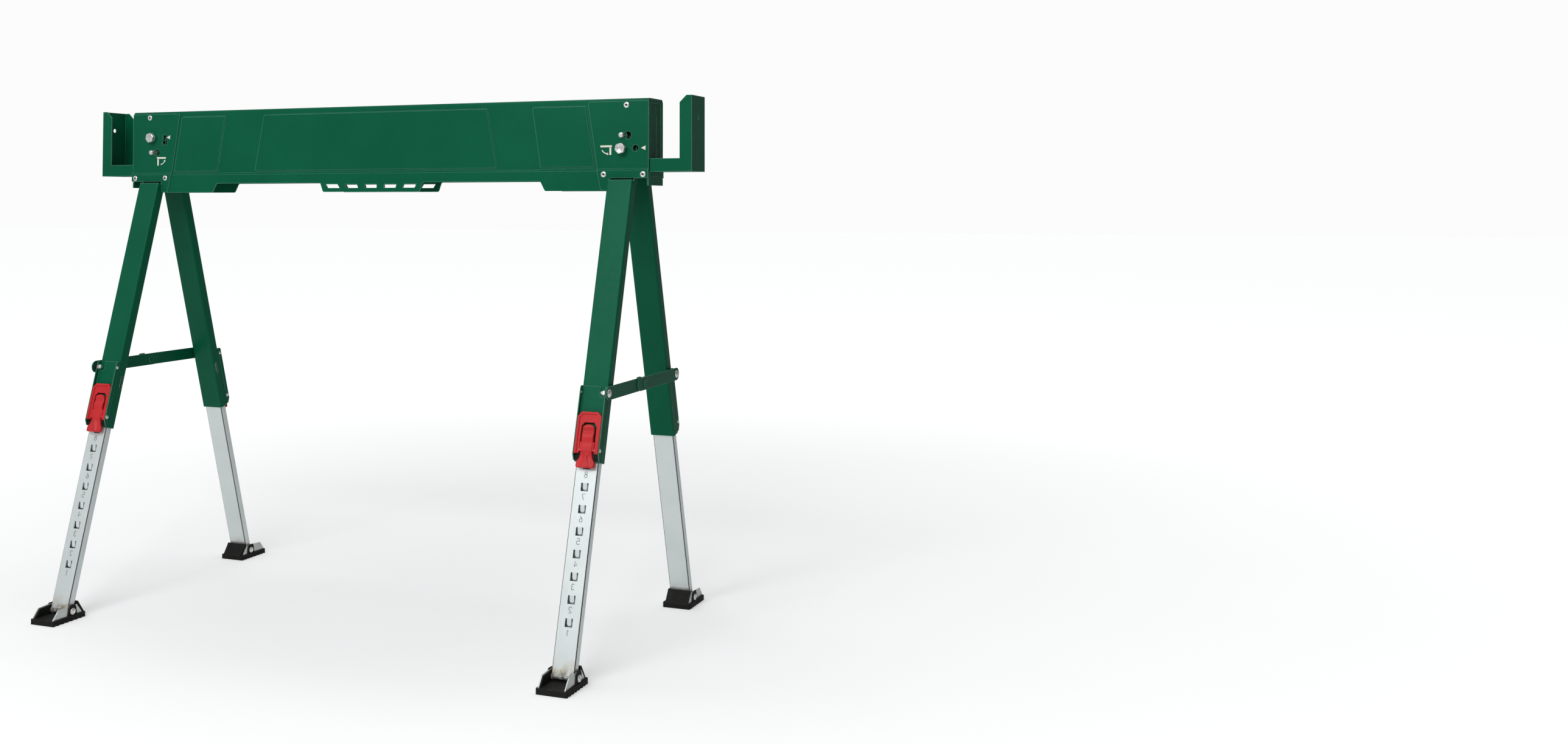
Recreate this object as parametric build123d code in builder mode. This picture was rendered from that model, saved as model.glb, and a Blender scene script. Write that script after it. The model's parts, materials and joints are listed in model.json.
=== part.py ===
"""Folding sawhorse: a hollow pressed-steel beam on four splayed, height-adjustable legs.

Millimetres. X runs along the beam, -Y is the front, +Z is up, and the origin is on the
floor midway between the four feet. Legs, latches, feet and straps are made once, at the
front right, and mirrored to the other corners.
"""
from build123d import *
import os

os.makedirs("parts", exist_ok=True)

SHEET = 1.5                       # pressed sheet thickness used nearly everywhere

# beam
BEAM_HALF = 485.0
BEAM_TOP = 813.0
WALL_Y = 26.1                     # outer face of the side wall
SKIRT_STEP = 2.5                  # the skirt stands this far outside the wall
STEP_TOP, STEP_BOTTOM = 707.5, 704.5
EDGE_Z = 689.5                    # lower edge between the tabs
TAB_Z = 674.5                     # lower edge of the tabs
NOTCH_Z = 693.5                   # lower edge above each leg
CORNER_R = 3.5
PANEL_RISE = 1.5
GRIP_PITCH, GRIP_W, GRIP_H, GRIP_SLANT = 36.3, 22.5, 6.0, 2.0
GRIP_Z = 683.9
NOTCH_IN, NOTCH_OUT, NOTCH_TOP = 21.2, 22.5, 736.0    # about the leg's centre
MIDDLE_TAB, END_TAB = (97.0, 91.5), (305.2, 313.2)    # x at EDGE_Z and at TAB_Z
PANEL_TOP_GAP, PANEL_LOW_GAP, PANEL_WALL = 9.5, 2.0, 3.0
MIDDLE_PANEL = (211.5, 229.5)                         # x at the top and at the foot
END_PANEL_IN, END_PANEL_OUT = (289.5, 304.5), (381.5, 397.5)
BEYOND = WALL_Y + 10              # depth of a cut that must pass through one wall

# side plates and rivets
PLATE_TOP, PLATE_FOOT = 809.0, 675.5
PLATE_IN_TOP, PLATE_IN_STEP, PLATE_IN_TAB, PLATE_CORNER = 385.0, 401.0, 407.5, 3.0
RIVETS = ((449.0, 803.0), (477.0, 699.0), (412.7, 699.2))
RIVET_R, RIVET_HEAD_R, RIVET_HEAD_H = 2.4, 4.5, 1.6
RIVET_BORE_R, RIVET_TAIL_R, RIVET_TAIL_H = 1.2, 3.4, 1.2

# leg pairs
LEG_X = 442.0
SPLAY = 15.33                     # degrees from upright
LEG_REF_Z, LEG_REF_Y = 700.0, -31.0
HINGE_Y, HINGE_Z = -9.5, 755.7
HINGE_R = 4.0
RUN_FIT = 0.05                    # radial clearance of anything that turns on a pin
FOLD_Z = {"left": 768.4, "right": 737.8}
LOCK_Z = {"left": 743.2, "right": 758.0}
YOKE_TOP = {"left": 786.0, "right": 768.0}
FOLD_R, FOLD_HEX, FOLD_HEAD, FOLD_NUT, FOLD_TAIL = 5.0, 8.4, 6.4, 8.0, 10.0
LOCK_R, LOCK_REACH, LOCK_TAIL, LOCK_COLLAR_R, LOCK_COLLAR = 4.0, 6.0, 20.3, 6.0, 2.0
KEY_R, KEY_NECK, KEY_DROP, KEY_FIT = 5.7, 7.0, 8.0, 0.2
KEY_X, STOP_X, STOP_R = 25.2, 21.7, 5.0    # second keyhole and stop hole, past the leg's centre
YOKE_X, YOKE_Y, YOKE_T, YOKE_FOOT = 45.8, 48.8, 2.0, 742.0
CHEEK_W, CHEEK_FOOT = 34.0, {"left": 733.0, "right": 724.0}
RELIEF_X, RELIEF_W, RELIEF_H = 12.0, 12.0, 14.0    # clears the keyhole's wide end
HINGE_HEAD_R, HINGE_HEAD = 5.5, 1.4

# upper leg tube, in leg coordinates: x across, n outward, s down the leg
UPPER_W, UPPER_D, UPPER_OUT = 41.0, 17.0, 2.5
UPPER_TOP, UPPER_END = 10.0, 424.0
WEB_TOP = -22.0                   # the inner wall runs on up between the hinge ears
TUBE_ROUND, HINGE_EAR_R = 2.5, 8.0
STOP_SLOT_N, STOP_SLOT_S, STOP_SLOT_L, STOP_SLOT_W = -8.7, 350.0, 21.0, 5.0
HOUSING_TOP, HOUSING_END, FLANGE_N = 317.0, 422.5, 9.8
WINDOW_W, WINDOW_TOP, TOOTH_TOP = 21.0, 368.0, 398.0
PIN_N, PIN_S, PIN_R = 6.4, 407.6, 1.8
FRAME_END, RIM_N, PANEL_N, WINDOW_HALF = 413.0, 10.2, 8.5, 11.6
LUG_TOP, LUG_END, LUG_HALF = 396.5, 409.8, 11.2
THUMB_TOP, THUMB_END, THUMB_W, THUMB_N, THUMB_T = 372.0, 414.0, 17.6, 6.2, 3.4
PULL_N, PULL_T, PULL_EDGE, LUG_N, LUG_T = 4.8, 4.8, 1.2, 5.4, 3.5
BOSS_X, BOSS_R, TOOTH_W, TOOTH_H, TOOTH_GAP, TOOTH_L = 9.3, 3.4, 6.6, 4.4, 0.4, 5.0
PIN_HEAD_R, PIN_HEAD, GLIDE_TOP = 3.0, 0.8, 384.0
BRACE_N, BRACE_S, BRACE_R = 6.6, 327.0, 2.5

# lower leg tube
LOWER_W, LOWER_D = 35.0, 12.3
LOWER_TOP, LOWER_END = 262.0, 708.0
HOLE_1, HOLE_PITCH, HOLE_COUNT, HOLE_SIZE = 640.0, 30.3, 8, 11.5
TONGUE_W = 6.6
FOOT_S, FOOT_R, FOOT_EAR_R, SLEEVE_R = 709.5, 3.0, 5.8, 4.6

# feet
SOLE_X, SOLE_OUT, SOLE_IN = 23.8, -252.0, -187.0
SOLE_T, BASE_T, LINER_T = 5.5, 1.5, 1.0
RIB_COUNT, RIB_PITCH = 7, 9.0
RIB_START, RIB_GAP, RIB_DEPTH = 5.5, 3.8, 1.8
EAR_IN, EAR_OUT, CHEEK_OUT = 19.0, 20.8, 22.3
BASE_OUT, BASE_IN = SOLE_OUT + 1.5, -193.0        # ends of the bracket's base
FOOT_HEAD_R, FOOT_HEAD = 5.2, 2.2

# brace straps, distances outboard of the leg's centre
FRONT_STRAP, BACK_STRAP = 23.1, 24.9
STRAP_W, STRAP_FRONT_TAIL, STRAP_BACK_TAIL = 19.5, 14.0, 26.0
LIP_START, LIP_END = 15.0, 25.0   # where the back strap's lip lies past the centre rivet
CENTRE_RIVET_R, CENTRE_RIVET_H = 5.5, 1.4

# end plates and L brackets
PLATE_T, PRESSING = 2.0, 0.7
TAB_HALF, END_LOW, END_STEP = 27.4, 682.5, 693.0    # the wider tab below the walls
END_TOP, END_CUT_Y, END_CUT_Z = 811.3, 5.0, 5.3
PRESSED_W, PRESSED_H, PRESSED_Z = 39.0, 110.0, 751.0
GROOVE_H, GROOVE_W, GROOVE_Z, DIMPLE_R, DIMPLE_Z = 78.0, 6.0, 752.0, 1.6, 797.0
RETURN_X, RETURN_H, RETURN_Z = 7.0, 78.0, 764.0     # flanges turned in along the walls
SLOT_Y, SLOT_W, SLOT_H = 12.0, 4.0, 12.4
SLOT_ROWS = (782.2, 740.9, 711.8)
BRACKET_X0, BRACKET_X1, BRACKET_Y = 485.4, 553.6, 26.4
BRACKET_Z0, BRACKET_Z1, BRACKET_LEG = 703.0, 815.6, 19.5
BRACKET_CUT_X, BRACKET_CUT_Z, BRACKET_ROUND = 8.7, 10.5, 2.5
WEB_HOLE_R, WEB_HOLE_Z = 3.5, 784.0
HOOK_T, HOOK_REACH, HOOK_W, HOOK_DROP, HOOK_NECK = 1.4, 0.3, 3.2, 7.0, 4.5

SIDES = {"left": -1, "right": 1}
ORIGIN = Vector(LEG_X, LEG_REF_Y, LEG_REF_Z)
DOWN = Vector(0, 0, -1).rotate(Axis.X, -SPLAY)
OUT = Vector(0, -1, 0).rotate(Axis.X, -SPLAY)
UPPER_MID = UPPER_OUT - UPPER_D / 2
LOWER_MID = -LOWER_D / 2


def leg_point(x, n, s):
    """A point of the front right leg: x across, n outward, s down."""
    return ORIGIN + Vector(x, 0, 0) + OUT * n + DOWN * s


def across(s):
    """Plane square to the leg, sketched as (x, n)."""
    return Plane(leg_point(0, 0, s), x_dir=(1, 0, 0), z_dir=DOWN)


def beside(x):
    """Plane along the leg's side, sketched as (n, s)."""
    return Plane(leg_point(x, 0, 0), x_dir=OUT, z_dir=(1, 0, 0))


def facing(n):
    """Plane along the leg's outer face, sketched as (x, s)."""
    return Plane(leg_point(0, n, 0), x_dir=(-1, 0, 0), z_dir=OUT)


def upright(x):
    """Plane square to the beam, sketched as (y, z)."""
    return Plane.YZ.offset(x)


FOOT_AXIS = leg_point(0, LOWER_MID, FOOT_S)
BRACE_BOLT = leg_point(0, BRACE_N, BRACE_S)


def save(part, name):
    part.label = name
    export_step(part, f"parts/{name}.step")


def save_corners(part, name, back=None):
    """Mirrors a front right piece to the other corners and writes all four."""
    back = back or mirror(part, about=Plane.XZ, mode=Mode.PRIVATE)
    for row, piece in (("front", part), ("back", back)):
        save(mirror(piece, about=Plane.YZ, mode=Mode.PRIVATE), f"{name}_{row}_left")
        save(piece, f"{name}_{row}_right")


def wall_outline():
    """Half of a side wall seen from the front: tabs, grip tab and leg notch."""
    with BuildSketch() as outline:
        with BuildLine():
            Polyline(
                (0, BEAM_TOP + 1), (BEAM_HALF, BEAM_TOP + 1), (BEAM_HALF, NOTCH_Z),
                (LEG_X + NOTCH_OUT, NOTCH_Z), (LEG_X + NOTCH_OUT, NOTCH_TOP),
                (LEG_X - NOTCH_IN, NOTCH_TOP), (LEG_X - NOTCH_IN, TAB_Z),
                (END_TAB[1], TAB_Z), (END_TAB[0], EDGE_Z), (MIDDLE_TAB[0], EDGE_Z),
                (MIDDLE_TAB[1], TAB_Z), (0, TAB_Z), close=True)
        make_face()
        tabs = outline.vertices().filter_by_position(Axis.Y, TAB_Z - 1, EDGE_Z + 1)
        fillet(tabs.filter_by_position(Axis.X, 1, LEG_X), radius=CORNER_R)
        mirror(about=Plane.YZ)
    return outline.sketch


def plate_outline():
    """The right side plate seen from the front, with its slanted edge and tab."""
    with BuildSketch() as outline:
        with BuildLine():
            Polyline(
                (PLATE_IN_TOP, PLATE_TOP), (BEAM_HALF, PLATE_TOP), (BEAM_HALF, NOTCH_Z),
                (LEG_X - NOTCH_IN, NOTCH_Z), (LEG_X - NOTCH_IN, PLATE_FOOT),
                (PLATE_IN_TAB, PLATE_FOOT), (PLATE_IN_STEP, STEP_TOP - 1), close=True)
        make_face()
        fillet(outline.vertices().sort_by(Axis.X)[0], radius=CORNER_R)
        tab = outline.vertices().filter_by_position(Axis.X, PLATE_IN_STEP + 1, LEG_X)
        fillet(tab.filter_by_position(Axis.Y, TAB_Z, NOTCH_Z + 1), radius=PLATE_CORNER)
    return outline.sketch


def panel_outline(inset):
    """The three raised panels of one wall, each shrunk by inset."""
    top, low = BEAM_TOP - PANEL_TOP_GAP - inset, STEP_TOP + PANEL_LOW_GAP + inset
    middle_top, middle_low = MIDDLE_PANEL
    with BuildSketch() as outline:
        with BuildLine():
            Polyline((inset - middle_top, top), (middle_top - inset, top),
                     (middle_low - inset, low), (inset - middle_low, low), close=True)
        make_face()
        with BuildLine():
            Polyline((END_PANEL_IN[0] + inset, top), (END_PANEL_OUT[0] - inset, top),
                     (END_PANEL_OUT[1] - inset, low), (END_PANEL_IN[1] + inset, low),
                     close=True)
        make_face()
        mirror(about=Plane.YZ)
        fillet(outline.vertices(), radius=CORNER_R)
    return outline.sketch


def grip_outline():
    """Five hand-grip windows, leaning outward towards the ends."""
    with BuildSketch() as outline:
        for i in (-2, -1, 0, 1, 2):
            lean = -GRIP_SLANT * i / 2
            x, w, h = i * GRIP_PITCH, GRIP_W / 2, GRIP_H / 2
            with BuildLine():
                Polyline((x - w - lean, GRIP_Z + h), (x + w - lean, GRIP_Z + h),
                         (x + w + lean, GRIP_Z - h), (x - w + lean, GRIP_Z - h),
                         close=True)
            make_face()
    return outline.sketch


def keyhole_outline(side):
    """Lock-pin keyholes and the fold bolt's hole on one end of the front wall."""
    x, fold, lock = SIDES[side] * LEG_X, FOLD_Z[side], LOCK_Z[side]
    with BuildSketch() as outline:
        with Locations((x, lock)):
            Circle(LOCK_R + KEY_FIT)
        with Locations((x + KEY_DROP + 1, lock)):
            Circle(KEY_R)
        with Locations((x + (KEY_DROP + 1) / 2, lock)):
            Rectangle(KEY_DROP + 1, KEY_NECK)
        if side == "left":
            with Locations((x + KEY_X, fold + 1)):
                Circle(LOCK_R + KEY_FIT)
            with Locations((x + KEY_X, fold + 1 - KEY_DROP)):
                Circle(KEY_R)
            with Locations((x + KEY_X, fold + 1 - KEY_DROP / 2)):
                Rectangle(KEY_NECK, KEY_DROP)
        else:
            with Locations((x + STOP_X, fold + 0.5)):
                Circle(STOP_R)
    return outline.sketch


def rivet_points():
    """(x, z) of the rivets at both ends of a wall."""
    return [(s * x, z) for s in (-1, 1) for x, z in RIVETS]


def wall_pattern(radius):
    with BuildSketch() as outline:
        with Locations(*rivet_points()):
            Circle(RIVET_R)
        with Locations(*[(SIDES[k] * LEG_X, FOLD_Z[k]) for k in SIDES]):
            Circle(radius)
    return outline.sketch


def on_wall(sketch):
    """Lays a front-view sketch upright on the plane midway between the walls."""
    return Plane.XZ * sketch


def make_beam_shell():
    with BuildPart() as shell:
        with BuildSketch(upright(-BEAM_HALF)):
            with BuildLine():
                Polyline(
                    (0, BEAM_TOP), (-WALL_Y, BEAM_TOP), (-WALL_Y, STEP_TOP),
                    (-WALL_Y - SKIRT_STEP, STEP_BOTTOM), (-WALL_Y - SKIRT_STEP, TAB_Z),
                    (-WALL_Y - SKIRT_STEP + SHEET, TAB_Z),
                    (-WALL_Y - SKIRT_STEP + SHEET, STEP_BOTTOM + 0.4),
                    (-WALL_Y + SHEET, STEP_TOP + 0.4), (-WALL_Y + SHEET, BEAM_TOP - SHEET),
                    (0, BEAM_TOP - SHEET), close=True)
            make_face()
        extrude(amount=2 * BEAM_HALF)
        top_edge = shell.edges().filter_by(Axis.X).sort_by(Axis.Z)[-2:]
        fillet(top_edge.sort_by(Axis.Y)[0], radius=CORNER_R)
        extrude(on_wall(wall_outline()), amount=BEYOND, mode=Mode.INTERSECT)
        extrude(on_wall(panel_outline(0)).moved(Location((0, -WALL_Y, 0))),
                amount=PANEL_RISE, taper=40)
        extrude(on_wall(panel_outline(PANEL_WALL)).moved(Location((0, -WALL_Y + SHEET, 0))),
                amount=PANEL_RISE, mode=Mode.SUBTRACT)
        extrude(on_wall(grip_outline()), amount=BEYOND, mode=Mode.SUBTRACT)
        extrude(on_wall(wall_pattern(FOLD_R)), amount=BEYOND, mode=Mode.SUBTRACT)
        mirror(about=Plane.XZ)
        for side in SIDES:
            extrude(on_wall(keyhole_outline(side)), amount=BEYOND, mode=Mode.SUBTRACT)
    return shell.part


def make_side_plate(side, row):
    """A stiffening plate riveted outside the wall at one end of the beam."""
    with BuildPart() as plate:
        with BuildSketch(upright(0)):
            with BuildLine():
                Polyline(
                    (-WALL_Y, PLATE_TOP), (-WALL_Y, STEP_TOP),
                    (-WALL_Y - SKIRT_STEP, STEP_BOTTOM), (-WALL_Y - SKIRT_STEP, TAB_Z),
                    (-WALL_Y - SKIRT_STEP - SHEET, TAB_Z),
                    (-WALL_Y - SKIRT_STEP - SHEET, STEP_BOTTOM + 0.6),
                    (-WALL_Y - SHEET, STEP_TOP + 0.6), (-WALL_Y - SHEET, PLATE_TOP),
                    close=True)
            make_face()
        extrude(amount=BEAM_HALF)
        extrude(on_wall(plate_outline()), amount=BEYOND, mode=Mode.INTERSECT)
        if side == "left":
            add(mirror(plate.part, about=Plane.YZ, mode=Mode.PRIVATE), mode=Mode.REPLACE)
        extrude(on_wall(wall_pattern(FOLD_R)), amount=BEYOND, mode=Mode.SUBTRACT)
        if row == "front":
            extrude(on_wall(keyhole_outline(side)), amount=BEYOND, mode=Mode.SUBTRACT)
        else:
            add(mirror(plate.part, about=Plane.XZ, mode=Mode.PRIVATE), mode=Mode.REPLACE)
    return plate.part


def make_plate_rivets():
    """Pop rivets through side plates and walls, both sides and both ends."""
    with BuildPart() as rivets:
        for x, z in rivet_points():
            skirt = SKIRT_STEP if z < STEP_BOTTOM else 0
            outer, inner = WALL_Y + skirt + SHEET, WALL_Y + skirt - SHEET
            with Locations(Location((x, -outer - RIVET_HEAD_H / 2, z), (90, 0, 0))):
                Cylinder(RIVET_HEAD_R, RIVET_HEAD_H)
                Cylinder(RIVET_BORE_R, RIVET_HEAD_H, mode=Mode.SUBTRACT)
            with Locations(Location((x, -(outer + inner) / 2, z), (90, 0, 0))):
                Cylinder(RIVET_R, outer - inner)
            with Locations(Location((x, RIVET_TAIL_H / 2 - inner, z), (90, 0, 0))):
                Cylinder(RIVET_TAIL_R, RIVET_TAIL_H)
        mirror(about=Plane.XZ)
    return rivets.part


def make_end_plate():
    """The right end plate: flanged into the channel, slotted for the L bracket."""
    inner = WALL_Y - SHEET
    with BuildPart() as plate:
        with BuildSketch(upright(BEAM_HALF - PLATE_T)):
            with BuildLine():
                Polyline((-TAB_HALF, END_LOW), (TAB_HALF, END_LOW), (TAB_HALF, END_STEP),
                         (inner, END_STEP), (inner, END_TOP - END_CUT_Z),
                         (inner - END_CUT_Y, END_TOP), (END_CUT_Y - inner, END_TOP),
                         (-inner, END_TOP - END_CUT_Z), (-inner, END_STEP),
                         (-TAB_HALF, END_STEP), close=True)
            make_face()
            with Locations(*[(y, z) for y in (-SLOT_Y, SLOT_Y) for z in SLOT_ROWS]):
                RectangleRounded(SLOT_W, SLOT_H, 0.8, mode=Mode.SUBTRACT)
        extrude(amount=PLATE_T)
        with BuildSketch(upright(BEAM_HALF)):
            with Locations((0, PRESSED_Z)):
                RectangleRounded(PRESSED_W, PRESSED_H, PLATE_CORNER)
        extrude(amount=-PRESSING, mode=Mode.SUBTRACT)
        with BuildSketch(upright(BEAM_HALF - PRESSING)):
            with Locations((0, GROOVE_Z)):
                SlotOverall(GROOVE_H, GROOVE_W, rotation=90)
            with Locations((0, DIMPLE_Z)):
                Circle(DIMPLE_R)
        extrude(amount=-PRESSING, mode=Mode.SUBTRACT)
        for y in (-inner + SHEET / 2, inner - SHEET / 2):
            with Locations((BEAM_HALF - PLATE_T + 1 - RETURN_X / 2, y, RETURN_Z)):
                Box(RETURN_X, SHEET, RETURN_H)
    return plate.part


def make_fold_bolts():
    """Hex bolt and nut across the beam at each end, one above the other's height."""
    face = WALL_Y + SHEET
    with BuildPart() as bolts:
        for side, s in SIDES.items():
            x, z = s * LEG_X, FOLD_Z[side]
            with BuildSketch(Plane.XZ.offset(face)):
                with Locations((x, z)):
                    RegularPolygon(FOLD_HEX, 6, rotation=30)
            extrude(amount=FOLD_HEAD)
            with BuildSketch(Plane.XZ.offset(-face)):
                with Locations((x, z)):
                    RegularPolygon(FOLD_HEX, 6, rotation=30)
            extrude(amount=-FOLD_NUT)
            with Locations(Location((x, 1, z), (90, 0, 0))):
                Cylinder(FOLD_R, 2 * (face + FOLD_TAIL + 1))
        head = bolts.faces().filter_by(Axis.Y).sort_by(Axis.Y)[:2]
        chamfer(head.edges(), length=0.9)
    return bolts.part


def make_yoke(side):
    """Folded box on the fold bolt. Its end flanges carry the two leg hinge pins."""
    top, x = YOKE_TOP[side], SIDES[side] * LEG_X
    cheek_y, cheek_foot = (YOKE_Y - YOKE_T) / 2, CHEEK_FOOT[side]
    with BuildPart() as yoke:
        with Locations((x, 0, top - YOKE_T / 2)):
            Box(YOKE_X, YOKE_Y, YOKE_T)
        for s in (-1, 1):
            with Locations((x + s * (YOKE_X - YOKE_T) / 2, 0, (top + YOKE_FOOT) / 2)):
                Box(YOKE_T, YOKE_Y - 2 * YOKE_T - 0.8, top - YOKE_FOOT)
            with Locations((x, s * cheek_y, (top + cheek_foot) / 2)):
                Box(CHEEK_W, YOKE_T, top - cheek_foot)
        with Locations(*[Location((x, y, HINGE_Z), (0, 90, 0))
                         for y in (HINGE_Y, -HINGE_Y)]):
            Cylinder(HINGE_R, YOKE_X + 10, mode=Mode.SUBTRACT)
        with Locations(Location((x, 0, FOLD_Z[side]), (90, 0, 0))):
            Cylinder(FOLD_R, YOKE_Y + 10, mode=Mode.SUBTRACT)
        with Locations(Location((x, -cheek_y, LOCK_Z[side]), (90, 0, 0))):
            Cylinder(LOCK_R + RUN_FIT, 2 * YOKE_T, mode=Mode.SUBTRACT)
        with Locations((x + RELIEF_X, -cheek_y, LOCK_Z[side])):
            Box(RELIEF_W, 2 * YOKE_T, RELIEF_H, mode=Mode.SUBTRACT)
    return yoke.part


def make_hinge_pins():
    """Four headed pins, one at the top of each leg."""
    with BuildPart() as pins:
        for s in (-1, 1):
            for y in (HINGE_Y, -HINGE_Y):
                with Locations(Location((s * LEG_X, y, HINGE_Z), (0, 90, 0))):
                    Cylinder(HINGE_R, YOKE_X + 2)
                for e in (-1, 1):
                    head_x = s * LEG_X + e * (YOKE_X + HINGE_HEAD) / 2
                    with Locations(Location((head_x, y, HINGE_Z), (0, 90, 0))):
                        Cylinder(HINGE_HEAD_R, HINGE_HEAD)
    return pins.part


def make_lock_pin(side):
    """Spring-loaded push button: tip outside the side plate, shoulder behind the yoke."""
    face = WALL_Y + SHEET
    with BuildPart() as pin:
        with Locations(Location((SIDES[side] * LEG_X, 0, LOCK_Z[side]), (90, 0, 0))):
            with Locations((0, 0, (face + LOCK_REACH + LOCK_TAIL) / 2)):
                Cylinder(LOCK_R, face + LOCK_REACH - LOCK_TAIL)
            with Locations((0, 0, LOCK_TAIL + LOCK_COLLAR / 2)):
                Cylinder(LOCK_COLLAR_R, LOCK_COLLAR)
        chamfer(pin.faces().sort_by(Axis.Y)[0].edges(), length=1.0)
    return pin.part


def make_l_bracket():
    """The right timber bracket: an L-shaped channel with two hooks."""
    leg = BRACKET_LEG
    hook_x1 = BEAM_HALF - PLATE_T - HOOK_REACH
    hook_x0 = hook_x1 - HOOK_W
    slot_low = SLOT_ROWS[2] - SLOT_H / 2
    with BuildPart() as bracket:
        with BuildSketch(Plane.XZ.offset(BRACKET_Y)):
            with BuildLine():
                Polyline(
                    (BRACKET_X0, BRACKET_Z0), (BRACKET_X1, BRACKET_Z0),
                    (BRACKET_X1, BRACKET_Z1), (BRACKET_X1 - BRACKET_CUT_X, BRACKET_Z1),
                    (BRACKET_X1 - leg, BRACKET_Z1 - BRACKET_CUT_Z),
                    (BRACKET_X1 - leg, BRACKET_Z0 + leg),
                    (BRACKET_X0, BRACKET_Z0 + leg), close=True)
            make_face()
        extrude(amount=-2 * BRACKET_Y)
        with BuildSketch(Plane.XZ.offset(BRACKET_Y - SHEET)):
            with BuildLine():
                Polyline(
                    (BRACKET_X0 + SHEET, BRACKET_Z0 + SHEET),
                    (BRACKET_X1 - SHEET, BRACKET_Z0 + SHEET),
                    (BRACKET_X1 - SHEET, BRACKET_Z1 + 1), (BRACKET_X1 - leg - 1, BRACKET_Z1 + 1),
                    (BRACKET_X1 - leg - 1, BRACKET_Z0 + leg + 1),
                    (BRACKET_X0 + SHEET, BRACKET_Z0 + leg + 1), close=True)
            make_face()
        extrude(amount=-2 * (BRACKET_Y - SHEET), mode=Mode.SUBTRACT)
        with BuildSketch(upright(BRACKET_X0)):
            with Locations((0, BRACKET_Z0 + leg / 2 + 2)):
                Rectangle(2 * SLOT_Y - 5, leg + 4)
        extrude(amount=SHEET, mode=Mode.SUBTRACT)
        with BuildSketch(upright(BRACKET_X1)):
            with Locations((0, WEB_HOLE_Z)):
                Circle(WEB_HOLE_R)
        extrude(amount=-SHEET, mode=Mode.SUBTRACT)
        vertical = bracket.edges().filter_by(Axis.Z).filter_by_position(
            Axis.X, BRACKET_X0 - 0.1, BRACKET_X0 + 0.1)
        fillet(vertical.filter_by(lambda e: abs(e.center().Y) > BRACKET_Y - 0.1),
               radius=BRACKET_ROUND)
        for y in (-SLOT_Y, SLOT_Y):
            with BuildSketch(Plane.XZ.offset(HOOK_T / 2 - y)):
                with BuildLine():
                    Polyline(
                        (BRACKET_X0 + SHEET, slot_low + 0.2), (hook_x1, slot_low + 0.2),
                        (hook_x1, slot_low - HOOK_DROP), (hook_x0, slot_low - HOOK_DROP),
                        (hook_x0, slot_low + HOOK_NECK),
                        (BRACKET_X0 + SHEET, slot_low + HOOK_NECK), close=True)
                make_face()
            extrude(amount=-HOOK_T)
    return bracket.part


def make_leg_tube():
    """Upper leg: a rectangular tube with two hinge ears, latch window and stop slot."""
    hinge = leg_point(0, 0, 0) - Vector(LEG_X, HINGE_Y, HINGE_Z)
    hinge_n, hinge_s = -hinge.dot(OUT), -hinge.dot(DOWN)
    half = UPPER_W / 2
    with BuildPart() as tube:
        with BuildSketch(across(UPPER_TOP)):
            with Locations((0, UPPER_MID)):
                RectangleRounded(UPPER_W, UPPER_D, TUBE_ROUND)
                RectangleRounded(UPPER_W - 2 * SHEET, UPPER_D - 2 * SHEET, 1.0,
                                 mode=Mode.SUBTRACT)
        extrude(amount=UPPER_END - UPPER_TOP)
        for x in (-half, half - SHEET):
            with BuildSketch(beside(x)):
                with BuildLine():
                    Polyline((-12, 16), (-4.6, 16), (-4.6, -8), (-2.2, -28), (2, hinge_s),
                             (-14, hinge_s), (-13.5, -20), close=True)
                make_face()
                with Locations((hinge_n, hinge_s)):
                    Circle(HINGE_EAR_R)
                    Circle(HINGE_R + RUN_FIT, mode=Mode.SUBTRACT)
            extrude(amount=SHEET)
        with BuildSketch(across(WEB_TOP)):
            with Locations((0, UPPER_OUT - UPPER_D + SHEET / 2)):
                Rectangle(UPPER_W, SHEET)
        extrude(amount=UPPER_TOP - WEB_TOP + 1)
        with BuildSketch(facing(UPPER_OUT + 1)):
            with Locations((0, (TOOTH_TOP + UPPER_END + 2) / 2)):
                Rectangle(WINDOW_W, UPPER_END + 2 - TOOTH_TOP)
        extrude(amount=-SHEET - 2, mode=Mode.SUBTRACT)
        with BuildSketch(beside(-half - 1)):
            with Locations((STOP_SLOT_N, STOP_SLOT_S)):
                SlotOverall(STOP_SLOT_L, STOP_SLOT_W, rotation=90)
        extrude(amount=SHEET + 2, mode=Mode.SUBTRACT)
    return tube.part


def make_latch_housing():
    """Channel on the leg's outer face: its flanges carry the latch pin and the brace bolt."""
    half, mid = UPPER_W / 2, (HOUSING_TOP + HOUSING_END) / 2
    with BuildPart() as housing:
        with BuildSketch(facing(UPPER_OUT)):
            with Locations((0, mid)):
                Rectangle(UPPER_W, HOUSING_END - HOUSING_TOP)
            with Locations((0, (WINDOW_TOP + HOUSING_END + 2) / 2)):
                Rectangle(WINDOW_W, HOUSING_END + 2 - WINDOW_TOP, mode=Mode.SUBTRACT)
            with Locations((SHEET + 5 - half, HOUSING_TOP + 7)):
                Rectangle(10, 16, mode=Mode.SUBTRACT)
        extrude(amount=SHEET)
        for x in (-half, half - SHEET):
            with BuildSketch(beside(x)):
                with BuildLine():
                    Polyline(
                        (UPPER_OUT, HOUSING_TOP), (FLANGE_N - 3, HOUSING_TOP),
                        (FLANGE_N, HOUSING_TOP + 3), (FLANGE_N, HOUSING_END - 8),
                        (UPPER_OUT + 2.5, HOUSING_END), (UPPER_OUT, HOUSING_END), close=True)
                make_face()
                with Locations((PIN_N, PIN_S)):
                    Circle(PIN_R, mode=Mode.SUBTRACT)
                with Locations((BRACE_N, BRACE_S)):
                    Circle(BRACE_R if x > 0 else 1.5, mode=Mode.SUBTRACT)
            extrude(amount=SHEET)
    return housing.part


def cut_arch(half, top, cut_x, cut_s, foot):
    """Points from one foot, round two cut top corners, to the other foot, as (x, s)."""
    return [(-half, foot), (-half, top + cut_s), (cut_x - half, top),
            (half - cut_x, top), (half, top + cut_s), (half, foot)]


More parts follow.
